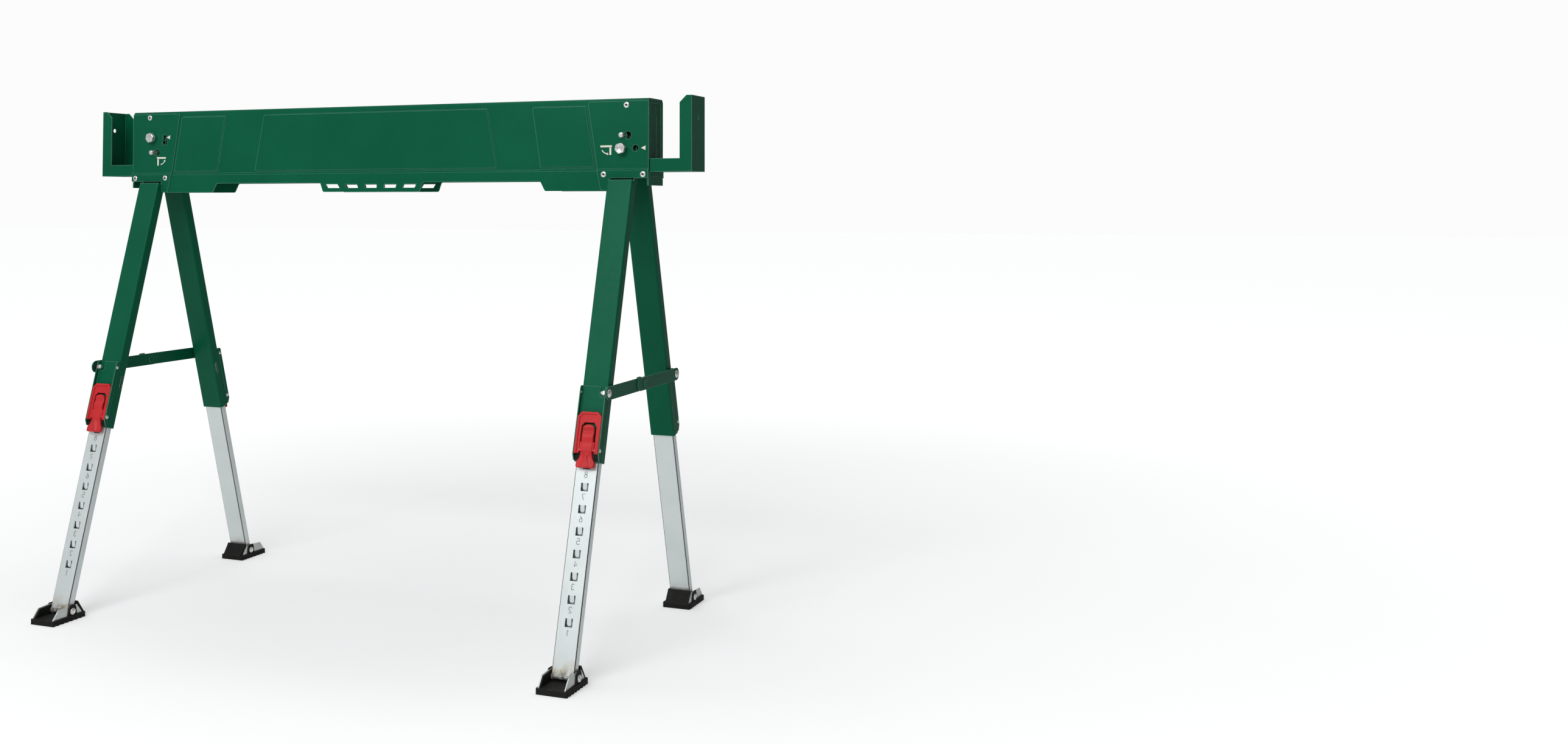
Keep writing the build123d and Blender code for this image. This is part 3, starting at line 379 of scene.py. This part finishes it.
def welded_zinc(name="zinc_tube"):
    """The tube's plating, with straw and brown heat tint by the weld at its foot, and painted shade along its
    rounded corners.
    """
    m = Nodes(name)
    cloud = m.remap(m.noise(16, 5), 0.35, 0.68, 0, 1)
    plate = m.mix(cloud, (0.88, 0.94, 0.935), (0.82, 0.885, 0.88))
    patch = m.remap(m.noise(75, 4), 0.42, 0.6, 0, 0.7)
    straw = m.times(m.remap(m.height(), 0.022, 0.040, 1, 0), patch)
    burnt = m.times(m.remap(m.height(), 0.018, 0.026, 1, 0), m.remap(m.noise(140, 3), 0.44, 0.6, 0, 0.8))
    tinted = m.mix(straw, plate, (0.70, 0.60, 0.42))
    welded = m.mix(burnt, tinted, (0.20, 0.15, 0.11))
    # near black on the tube's rounded corners: painted shade
    m.paint(m.mix(m.corners(), welded, (0.07, 0.075, 0.075)))
    brushed = m.noise(650, 4, stretch=(1, 0.08, 0.08))
    m.gloss(brushed, 0.36, 0.50)
    m.bump(brushed, 0.05, 0.0002)
    m.set(Metallic=0.55)
    return m.material


def rubber(name="rubber_black"):
    """Moulded rubber with a fine matt grain and a pale painted highlight along its edges."""
    m = Nodes(name)
    base = m.mix(m.remap(m.noise(45, 5), 0.4, 0.7, 0, 1), (0.010, 0.010, 0.009), (0.017, 0.017, 0.015))
    # paler along the edges: a painted highlight
    m.paint(m.mix(m.edges(), base, (0.038, 0.038, 0.036)))
    m.gloss(m.noise(300, 2), 0.55, 0.75)
    m.bump(m.noise(1500, 2), 0.25, 0.0003)
    m.set(Specular_IOR_Level=0.18)
    return m.material


def red_plastic(name="moulded_red"):
    """Semi-gloss moulded plastic with a fine spark-eroded grain and a painted highlight along its edges."""
    m = Nodes(name)
    base = m.mix(m.remap(m.noise(30, 3), 0.4, 0.65, 0, 1), (0.58, 0.020, 0.024), (0.64, 0.025, 0.029))
    # paler red along the edges: a painted highlight
    m.paint(m.mix(m.edges(0.7), base, (0.78, 0.100, 0.100)))
    m.gloss(m.noise(400, 2), 0.36, 0.48)
    m.bump(m.noise(1800, 2), 0.12, 0.0002)
    m.set(Subsurface_Weight=0.04, Subsurface_Scale=0.002, Specular_IOR_Level=0.28)
    return m.material


def print_ink(name, colour):
    """Screen print with slightly uneven cover."""
    m = Nodes(name)
    thin = tuple(c * 0.86 for c in colour)
    m.paint(m.mix(m.remap(m.noise(1100, 3), 0.4, 0.7, 0, 1), colour, thin))
    m.gloss(m.noise(700, 2), 0.5, 0.65)
    return m.material


GREEN = powder_coat()
PLATE = zinc("zinc_plate", (0.66, 0.70, 0.68), (0.52, 0.55, 0.53), 700, 0.34, 0.8)
TUBE = welded_zinc()
BRIGHT = zinc("zinc_bright", (0.90, 0.90, 0.88), (0.74, 0.74, 0.72), 900, 0.26, 0.75)
# near-black steel: painted shade in the hollow centres of the pop rivets
PAINTED_SHADE_STEEL = zinc("steel_painted_shade", (0.035, 0.032, 0.030), (0.015, 0.015, 0.015), 900, 0.55, 0.2)
RUBBER = rubber()
RED = red_plastic()
NYLON = rubber("nylon_black")
CREAM = print_ink("ink_cream", (0.86, 0.84, 0.72))
GREY_INK = print_ink("ink_grey", (0.17, 0.17, 0.16))
SLOT_MATERIALS = {
    "green_paint": GREEN, "zinc_plate": PLATE, "zinc_fastener": BRIGHT,
    "black_rubber": RUBBER, "red_plastic": RED, "nylon": NYLON,
}


def dress_cad_nodes():
    """Gives every CAD node its material and softens its sharp edges."""
    slots = {part["node"]: part["material_slot"] for part in frame["record"]["subparts"]}
    for name, node in frame["nodes"].items():
        node.data.materials.clear()
        material = TUBE if name.startswith("lower_tube") else SLOT_MATERIALS[slots[name]]
        node.data.materials.append(material)
        weld = node.modifiers.new("weld", "WELD")
        weld.merge_threshold = 1e-6
        soften(node, 0.35)


# ---------------------------------------------------------------- latch

def smooth(value):
    """Eases 0 to 1 and holds outside."""
    t = min(max(value, 0.0), 1.0)
    return t * t * (3 - 2 * t)


def bump_at(s, centre, reach):
    """A smooth hump, 1 at its centre and 0 from reach away."""
    return smooth(1 - abs(s - centre) / reach)


def lever_half(s):
    """Half width of the lever at s: round thumb end, straight stem, flared pull."""
    if s < LEVER_CREASE:
        round_end = min((s - LEVER_TOP) / THUMB_ROUND, 1.0)
        return THUMB_HALF * math.sqrt(1 - (1 - round_end) ** 2) + 0.2
    flare = 8.6 + 1.9 * smooth((s - LEVER_CREASE) / 10) + 3.6 * smooth((s - 419) / 6)
    corner = max((s - (LEVER_END - 3.0)) / 3.0, 0.0)
    return flare - 3.0 * (1 - math.sqrt(1 - min(corner, 1.0) ** 2))


def lever_face(x, s):
    """Height of the lever's outer face: thumb roll, dip, swell, then the ridged pull."""
    if s < LEVER_CREASE:
        face = 9.4 + 0.9 * bump_at(s, 376, 6) - 0.9 * bump_at(s, 381.5, 5) + 1.0 * bump_at(s, 390, 9)
        return face + 0.5 * smooth((s - 396) / 8)
    ridge_half = 0.8 + 4.6 * smooth((s - LEVER_CREASE - 2) / 18)
    ridge = smooth((ridge_half + 1.6 - abs(x)) / 2.2) * smooth((s - LEVER_CREASE - 1) / 5)
    hollow = bump_at(s, 417, 9)
    return 9.0 + 1.5 * ridge - 0.7 * hollow * (1 - ridge) + 0.6 * smooth((s - 424) / 8)


def lever_back(s):
    """The back steps outward behind the thumb, to clear the tube when pressed."""
    return LEVER_BACK + 1.1 * smooth((398 - s) / 8)


def make_lever(leg):
    """The rocker's outside as one closed skin, with lugs beside its pin and the catch tooth."""
    rows, columns, edge = 64, 28, LEVER_EDGE
    bm = bmesh.new()
    grid = []
    for i in range(rows + 1):
        s = LEVER_TOP + (LEVER_END - LEVER_TOP) * i / rows
        half = lever_half(s)
        end_round = min(s - LEVER_TOP, LEVER_END - s, edge)
        line = []
        for j in range(columns + 1):
            x = half * math.sin(math.pi / 2 * (2 * j / columns - 1))
            inward = min(half - abs(x), end_round, edge) / edge
            drop = edge * (1 - math.sqrt(max(1 - (1 - inward) ** 2, 0)))
            line.append(bm.verts.new(leg.at(x, lever_face(x, s) - drop, s)))
        grid.append(line)
    back = []
    for i in range(rows + 1):
        s = LEVER_TOP + (LEVER_END - LEVER_TOP) * i / rows
        half = lever_half(s)
        back.append([bm.verts.new(leg.at(sign * half, lever_back(s), s)) for sign in (-1, 1)])
    for upper, lower, back_up, back_low in zip(grid, grid[1:], back, back[1:]):
        for j in range(columns):
            bm.faces.new([upper[j], upper[j + 1], lower[j + 1], lower[j]])
        bm.faces.new([upper[0], lower[0], back_low[0], back_up[0]])
        bm.faces.new([lower[-1], upper[-1], back_up[1], back_low[1]])
        bm.faces.new([back_up[0], back_low[0], back_low[1], back_up[1]])
    for line, ends in ((grid[0], back[0]), (grid[-1], back[-1])):
        bm.faces.new([ends[0]] + line + [ends[1]])
    body = f"lever_{leg.key}"
    skin = make_object(f"lever_skin_{leg.key}", mesh_from(bm, "lever_skin", 50), body,
                       RED)

    bm = bmesh.new()
    for sign in (-1, 1):
        inner, outer = sign * LUG_INNER, sign * LUG_HALF
        leg.slab(bm, [(inner, LUG_TOP), (outer, LUG_TOP), (outer, LUG_END), (inner, LUG_END)],
                 LEVER_BACK, LUG_FACE)
    top_hole = HOLE_1 - (HOLE_COUNT - 1) * HOLE_PITCH
    upper, lower = top_hole - TOOTH_HALF_S, top_hole + TOOTH_HALF_S
    leg.slab(bm, [(-TOOTH_HALF_X, upper), (TOOTH_HALF_X, upper),
                  (TOOTH_HALF_X, lower), (-TOOTH_HALF_X, lower)],
             TOOTH_TIP, LEVER_BACK + 0.4)
    lugs = make_object(f"lever_lugs_{leg.key}", mesh_from(bm, "lever_lugs"), body,
                       RED)
    soften(lugs, 0.7, 3)
    for piece in (skin, lugs):
        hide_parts(f"latch_lever_{leg.key}")


def chamfered_arch(half, top, cut_x, cut_s, foot):
    """Left foot, round the cut top corners, to the right foot, as (x, s)."""
    return [(-half, foot), (-half, top + cut_s), (-half + cut_x, top), (half - cut_x, top),
            (half, top + cut_s), (half, foot)]


def make_latch_surround(leg):
    """Raised rim with cut corners round a sunk panel, open where the lever works."""
    outer = chamfered_arch(18.6, 354.5, 6.0, 6.5, RIM_FOOT)
    rim_in = chamfered_arch(15.2, 358.0, 4.3, 4.8, RIM_FOOT)
    panel = chamfered_arch(15.8, 357.4, 4.5, 5.0, PANEL_FOOT)
    window = chamfered_arch(11.6, 369.6, 4.2, 5.0, PANEL_FOOT)
    bm = bmesh.new()
    leg.slab(bm, outer + rim_in[::-1], FRAME_BASE, RIM_FACE)
    leg.slab(bm, panel + window[::-1], FRAME_BASE, PANEL_FACE)
    surround = make_object(f"latch_surround_{leg.key}", mesh_from(bm, "latch_surround"),
                           f"leg_{leg.key}", RED)
    soften(surround, 0.75, 4)
    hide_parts(f"latch_frame_{leg.key}")


def make_glide_lip_and_shade(leg):
    """Black edge of the nylon guide in view at the tube's mouth on both sides of the pull; its black also stands
    as painted shade in the hollow mouth.
    """
    bm = bmesh.new()
    for sign in (-1, 1):
        inner, outer = sign * LIP_SHADE_INNER, sign * LIP_SHADE_HALF
        leg.slab(bm, [(inner, LIP_SHADE_TOP), (outer, LIP_SHADE_TOP), (outer, LIP_SHADE_END), (inner, LIP_SHADE_END)],
                 FRAME_BASE, FRAME_BASE + LIP_SHADE_THICK)
    # a black strip for the guide's edge, also standing as painted shade in the tube's mouth
    guide_edge_shade = make_object(f"glide_lip_and_shade_{leg.key}", mesh_from(bm, "glide_lip_and_shade"), f"leg_{leg.key}",
                      NYLON)
    soften(guide_edge_shade, 0.25)


# ---------------------------------------------------------------- fasteners

def bright_piece(name, bm, body, smooth_deg=35):
    """A fastener in bright zinc."""
    return make_object(name, mesh_from(bm, name, smooth_deg), body, BRIGHT)


def shank(bm, start, axis, radius, low, high):
    """A plain closed cylinder along an axis."""
    lathe(bm, start, axis, [(0, low), (radius, low), (radius, high), (0, high)])


def make_leg_fasteners(leg):
    """Latch pin, brace bolt, cap nut, black washers and the small housing rivet."""
    across = leg.across
    strap_in, strap_out = STRAP_IN[leg.row], STRAP_OUT[leg.row]
    body = f"leg_{leg.key}"

    bm = bmesh.new()
    start = leg.at(0, PIN_N, PIN_S)
    for sign in (-1, 1):
        lathe(bm, start, across * sign, dome(PIN_HEAD_R, HALF_LEG, PIN_HEAD_H))
    shank(bm, start, across, PIN_R, -HALF_LEG, HALF_LEG)
    pin = bright_piece(f"latch_pin_{leg.key}", bm, body)

    bm = bmesh.new()
    start = leg.at(0, BRACE_N, BRACE_S)
    lathe(bm, start, across, dome(BRACE_HEAD_R, strap_out + WASHER_GAP, BRACE_HEAD_H))
    shank(bm, start, across, BRACE_BOLT_R, BRACE_BOLT_START, strap_out + WASHER_GAP)
    bolt = bright_piece(f"brace_bolt_{leg.key}", bm, body)

    bm = bmesh.new()
    cap = dome(CAP_R, CAP_START, CAP_H)[2:][::-1]
    hex_head(bm, start, -across, BRACE_NUT_HALF, BRACE_NUT_START, BRACE_NUT_H, crown=cap)
    nut = bright_piece(f"brace_nut_{leg.key}", bm, body)

    bm = bmesh.new()
    first_end = HALF_LEG + WASHER_H
    for low, high in ((HALF_LEG, first_end), (first_end + WASHER_GAP, strap_in - WASHER_GAP)):
        lathe(bm, start, across, [
            (BRACE_BOLT_R, low), (WASHER_R - WASHER_RIM, low), (WASHER_R, low + WASHER_RIM),
            (WASHER_R, high - WASHER_RIM), (WASHER_R - WASHER_RIM, high),
            (BRACE_BOLT_R, high), (BRACE_BOLT_R, low)])
    washer = make_object(f"brace_washers_{leg.key}", mesh_from(bm, "brace_washers"), body,
                         NYLON)

    bm = bmesh.new()
    lathe(bm, start, -across, dome(HOUSING_RIVET_HEAD_R, HALF_LEG, HOUSING_RIVET_HEAD_H))
    shank(bm, start, -across, HOUSING_RIVET_R, HOUSING_RIVET_START, HALF_LEG)
    rivet = bright_piece(f"housing_rivet_{leg.key}", bm, body)
    for piece in (pin, bolt, nut, washer, rivet):
        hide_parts(f"leg_fasteners_{leg.key}")


def make_foot_bolt(leg):
    """Pivot bolt with a low domed and dimpled head at both ends."""
    head = [(0, 0), (5.1, 0), (5.2, 0.3), (5.0, 1.0), (4.2, 1.7), (3.0, 2.1), (2.4, 2.15),
            (2.1, 1.5), (0, 1.4)]
    bm = bmesh.new()
    start = leg.at(0, FOOT_N, FOOT_S)
    for sign in (-1, 1):
        lathe(bm, start, leg.across * sign, [(radius, FOOT_CHEEK + rise) for radius, rise in head])
    shank(bm, start, leg.across, FOOT_BOLT_R, -FOOT_CHEEK, FOOT_CHEEK)
    bolt = bright_piece(f"foot_pivot_{leg.key}", bm, f"foot_{leg.key}")
    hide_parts(f"foot_bolt_{leg.key}")


def make_plate_rivets():
    """Pop rivets: a low domed flange round the broken end of the mandrel, near black as painted shade in the
    rivet's hollow centre.
    """
    flange = [(1.6, 0.3), (4.3, 0.0), (4.5, 0.25), (4.3, 0.75), (3.4, 1.25), (2.3, 1.5), (1.8, 1.3),
              (1.6, 0.3)]
    mandrel = [(0, 0.1), (1.6, 0.1), (1.6, 0.5), (1.0, 0.65), (0, 0.5)]
    # the mandrel ends are coloured near black: painted shade in the rivets' hollow centres
    for name, profile, material in (("pop_rivets", flange, BRIGHT), ("rivet_mandrel_shade", mandrel, PAINTED_SHADE_STEEL)):
        bm = bmesh.new()
        for low, high in islands("plate_rivets"):
            centre = (low + high) / 2
            side = math.copysign(1, centre.y)
            face = max(abs(low.y), abs(high.y)) - RIVET_HEAD_H * MM
            lathe(bm, Vector((centre.x, side * face, centre.z)), (0, side, 0), profile)
        make_object(name, mesh_from(bm, name), "beam", material)
        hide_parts("plate_rivets")


def make_fold_bolts():
    """Hex bolt across the beam at each end, with a chamfered nut and the thread's end behind."""
    bm = bmesh.new()
    for low, high in islands("fold_bolts"):
        centre = (low + high) / 2
        start = Vector((centre.x, 0, centre.z))
        front, back = -low.y / MM, high.y / MM
        face = front - FOLD_HEAD_H
        hex_head(bm, start, (0, -1, 0), FOLD_HEX_HALF, face, FOLD_HEAD_H)
        hex_head(bm, start, (0, 1, 0), FOLD_HEX_HALF, face, FOLD_NUT_H)
        lathe(bm, start, (0, 1, 0), [(0, -face), (FOLD_BOLT_R, -face), (FOLD_BOLT_R, back - 1),
                                     (FOLD_BOLT_R - 1, back), (0, back)])
    bolts = bright_piece("fold_bolt_set", bm, "beam", smooth_deg=25)
    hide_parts("fold_bolts")


def make_lock_pin(end):
    """Spring pin: bright rounded tip with a turning centre, and its shoulder inside."""
    low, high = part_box(f"lock_pin_{end}")
    centre = (Vector(low) + Vector(high)) / 2
    start = Vector((centre.x, 0, centre.z))
    tip, inner = -low[1] / MM, -high[1] / MM
    shoulder, bend = inner + LOCK_SHOULDER_H, tip - LOCK_PIN_ROUND
    profile = [(0, inner), (LOCK_SHOULDER_R, inner), (LOCK_SHOULDER_R, shoulder),
               (LOCK_PIN_R, shoulder), (LOCK_PIN_R, bend)]
    profile += [(LOCK_PIN_R - LOCK_PIN_ROUND * (1 - math.cos(t)), bend + LOCK_PIN_ROUND * math.sin(t))
                for t in (math.pi / 2 * i / 6 for i in range(1, 7))]
    profile += [(1.5, tip), (1.2, tip - 0.5), (0, tip - 0.6)]
    bm = bmesh.new()
    lathe(bm, start, (0, -1, 0), profile)
    pin = bright_piece(f"spring_pin_{end}", bm, f"lock_pin_{end}")
    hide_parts(f"lock_pin_{end}")


# ---------------------------------------------------------------- printed marks

def digit_strokes():
    """Single-stroke figures in a box one unit high, centred on the origin."""
    return {
        "1": [[(-0.16, 0.30), (0.06, 0.5), (0.06, -0.5)]],
        "2": [arc((0, 0.23), 0.27, 165, -40) + [(-0.28, -0.5), (0.3, -0.5)]],
        "3": [arc((0, 0.26), 0.24, 150, -80), arc((0, -0.23), 0.27, 80, -155)],
        "4": [[(0.12, -0.5), (0.12, 0.5), (-0.3, -0.2), (0.32, -0.2)]],
        "5": [[(0.25, 0.5), (-0.2, 0.5), (-0.24, 0.03)] + arc((-0.01, -0.19), 0.31, 125, -145)],
        "6": [[(0.20, 0.5), (-0.16, 0.14)] + arc((0, -0.22), 0.28, 148, 148 + 345, 24)],
        "7": [[(-0.27, 0.5), (0.28, 0.5), (-0.06, -0.5)]],
        "8": [arc((0, 0.27), 0.23, -88, 268, 20), arc((0, -0.23), 0.27, 92, 448, 24)],
    }


def make_numerals(leg):
    """Position numbers 1 to 8, marked below the latch holes."""
    right = leg.down.cross(leg.out)
    strokes = digit_strokes()
    bm = bmesh.new()
    for i in range(HOLE_COUNT):
        middle = leg.at(0, 0.02, HOLE_1 - HOLE_PITCH * i + NUMERAL_DROP)
        for path in strokes[str(i + 1)]:
            sized = [(x * NUMERAL_HEIGHT, y * NUMERAL_HEIGHT) for x, y in path]
            outline = stroke_outline(sized, NUMERAL_STROKE)
            count = len(sized)
            for j in range(count - 1):
                other = 2 * count - 2 - j
                quad = [outline[j], outline[j + 1], outline[other], outline[other + 1]]
                prism(bm, [middle + (right * p.x - leg.down * p.y) * MM for p in quad],
                      leg.out * PRINT_RISE * MM)
    make_object(f"numerals_{leg.key}", mesh_from(bm, "numerals"), f"lower_leg_{leg.key}",
                GREY_INK)


def on_front(points):
    """Front-view (x, z) points in mm laid on the side plate's outer face."""
    return [Vector((x, PLATE_FACE, z)) * MM for x, z in points]


def make_plate_marks():
    """Triangles at the release holes, and fold symbols: beam, leg and a turning arrow."""
    rise = Vector((0, -PRINT_RISE * MM, 0))
    for end, side_sign in ENDS.items():
        tip_x, tip_z = RELEASE_TIPS[end]
        base_x = tip_x + RELEASE_LENGTH
        triangle = [(tip_x, tip_z), (base_x, tip_z + RELEASE_HALF), (base_x, tip_z - RELEASE_HALF)]
        bm = bmesh.new()
        prism(bm, on_front(triangle), rise)
        make_object(f"release_mark_{end}", mesh_from(bm, "release_mark"), "beam", CREAM)

        corner_x, corner_z = FOLD_CORNERS[end]
        turn = -side_sign
        beam_bar = [(0, 0), (19, 0), (19, -2.8), (0, -2.8)]
        leg_bar = [(1.0, -3.4), (4.0, -3.4), (4.0, -14.4), (1.0, -14.4)]
        # the arrow's quarter turn, from the beam's bar round to the leg's bar
        sweep = [(16.3, -7.0), (14.8, -9.2), (12.6, -11.0), (10.2, -12.1), (8.0, -12.7)]
        if end == "left":
            sweep = sweep[::-1]
        ahead = (Vector(sweep[-1]) - Vector(sweep[-2])).normalized()
        side = Vector((-ahead.y, ahead.x)) * 2.1
        end_point = Vector(sweep[-1])
        arrow_head = [end_point + side, end_point + ahead * 2.9, end_point - side]
        bm = bmesh.new()
        for shape in (beam_bar, leg_bar, stroke_outline(sweep, 1.4), arrow_head):
            prism(bm, on_front([(corner_x + turn * x, corner_z + z) for x, z in shape]), rise)
        make_object(f"fold_symbol_{end}", mesh_from(bm, "fold_symbol"), "beam", CREAM)


# ---------------------------------------------------------------- studio

def make_floor():
    """Plain pale floor that brightens into the background far from the object."""
    bm = bmesh.new()
    bmesh.ops.create_grid(bm, x_segments=2, y_segments=2, size=30.0)
    mesh = bpy.data.meshes.new("floor")
    bm.to_mesh(mesh)
    bm.free()
    floor = bpy.data.objects.new("floor", mesh)
    bpy.context.scene.collection.objects.link(floor)
    m = Nodes("floor_pale")
    m.paint(m.mix(m.noise(3, 3), (0.86, 0.86, 0.86), (0.88, 0.88, 0.88)))
    distance = m.add("ShaderNodeVectorMath", operation="LENGTH")
    m.link(m.where, distance.inputs[0])
    glow = m.remap(distance.outputs["Value"], 0.2, 3.0, 0.22, 0.75)
    seen = m.add("ShaderNodeLightPath").outputs["Is Camera Ray"]
    m.link(m.times(glow, seen), m.shader.inputs["Emission Strength"])
    m.set(Roughness=0.8, Specular_IOR_Level=0.1, Emission_Color=(1, 1, 1, 1))
    mesh.materials.append(m.material)


def make_light(name, place, aim, size, power):
    """A rectangular light at place, turned towards aim; metres and watts."""
    data = bpy.data.lights.new(name, "AREA")
    data.shape = "RECTANGLE"
    data.size, data.size_y = size
    data.energy = power
    light = bpy.data.objects.new(name, data)
    light.location = place
    light.rotation_euler = (Vector(aim) - Vector(place)).to_track_quat("-Z", "Y").to_euler()
    bpy.context.scene.collection.objects.link(light)


def make_world():
    """Dim fill, weaker from the right, in front of a near-white background."""
    world = bpy.data.worlds.new("studio")
    world.use_nodes = True
    tree = world.node_tree
    fill = tree.nodes["Background"]
    fill.inputs["Color"].default_value = (0.96, 0.98, 1.0, 1)
    direction = tree.nodes.new("ShaderNodeTexCoord")
    split = tree.nodes.new("ShaderNodeSeparateXYZ")
    falloff = tree.nodes.new("ShaderNodeMapRange")
    for name, value in (("From Min", -0.2), ("From Max", 0.9), ("To Min", 0.36), ("To Max", 0.05)):
        falloff.inputs[name].default_value = value
    tree.links.new(direction.outputs["Generated"], split.inputs["Vector"])
    tree.links.new(split.outputs["X"], falloff.inputs["Value"])
    tree.links.new(falloff.outputs["Result"], fill.inputs["Strength"])
    backdrop = tree.nodes.new("ShaderNodeBackground")
    backdrop.inputs["Color"].default_value = (0.97, 0.97, 0.97, 1)
    chooser = tree.nodes.new("ShaderNodeMixShader")
    rays = tree.nodes.new("ShaderNodeLightPath")
    tree.links.new(rays.outputs["Is Camera Ray"], chooser.inputs["Fac"])
    tree.links.new(fill.outputs["Background"], chooser.inputs[1])
    tree.links.new(backdrop.outputs["Background"], chooser.inputs[2])
    tree.links.new(chooser.outputs["Shader"], tree.nodes["World Output"].inputs["Surface"])
    bpy.context.scene.world = world


def make_studio():
    make_floor()
    make_world()
    make_light("key", (0.3, -2.9, 2.7), (0.1, 0, 0.5), (2.0, 1.4), 60)
    make_light("side", (-3.0, -0.6, 1.6), (0, 0, 0.5), (1.4, 1.2), 5)
    make_light("strip", (-0.8, -2.7, 1.8), (0.4, -0.1, 0.5), (0.7, 0.7), 8)
    make_light("top", (0, 0.3, 3.0), (0, 0, 0.4), (2.6, 1.4), 20)
    bpy.context.scene.view_settings.view_transform = "Standard"


def make_camera():
    """Three-quarter view from the front right, a little below the beam's height."""
    data = bpy.data.cameras.new("camera")
    data.sensor_width = 36
    data.lens = 32.45
    data.shift_x, data.shift_y = 0.0476, -0.1374
    camera = bpy.data.objects.new("camera", data)
    camera.location = (1.31775, -1.95325, 0.65406)
    camera.rotation_euler = (math.radians(91.94), 0, math.radians(20.92))
    bpy.context.scene.collection.objects.link(camera)
    bpy.context.scene.camera = camera


dress_cad_nodes()
for leg in LEGS:
    make_lever(leg)
    make_latch_surround(leg)
    make_glide_lip_and_shade(leg)
    make_leg_fasteners(leg)
    make_foot_bolt(leg)
    make_numerals(leg)
for beam_end in ENDS:
    make_lock_pin(beam_end)
make_plate_rivets()
make_fold_bolts()
make_plate_marks()
make_studio()
make_camera()
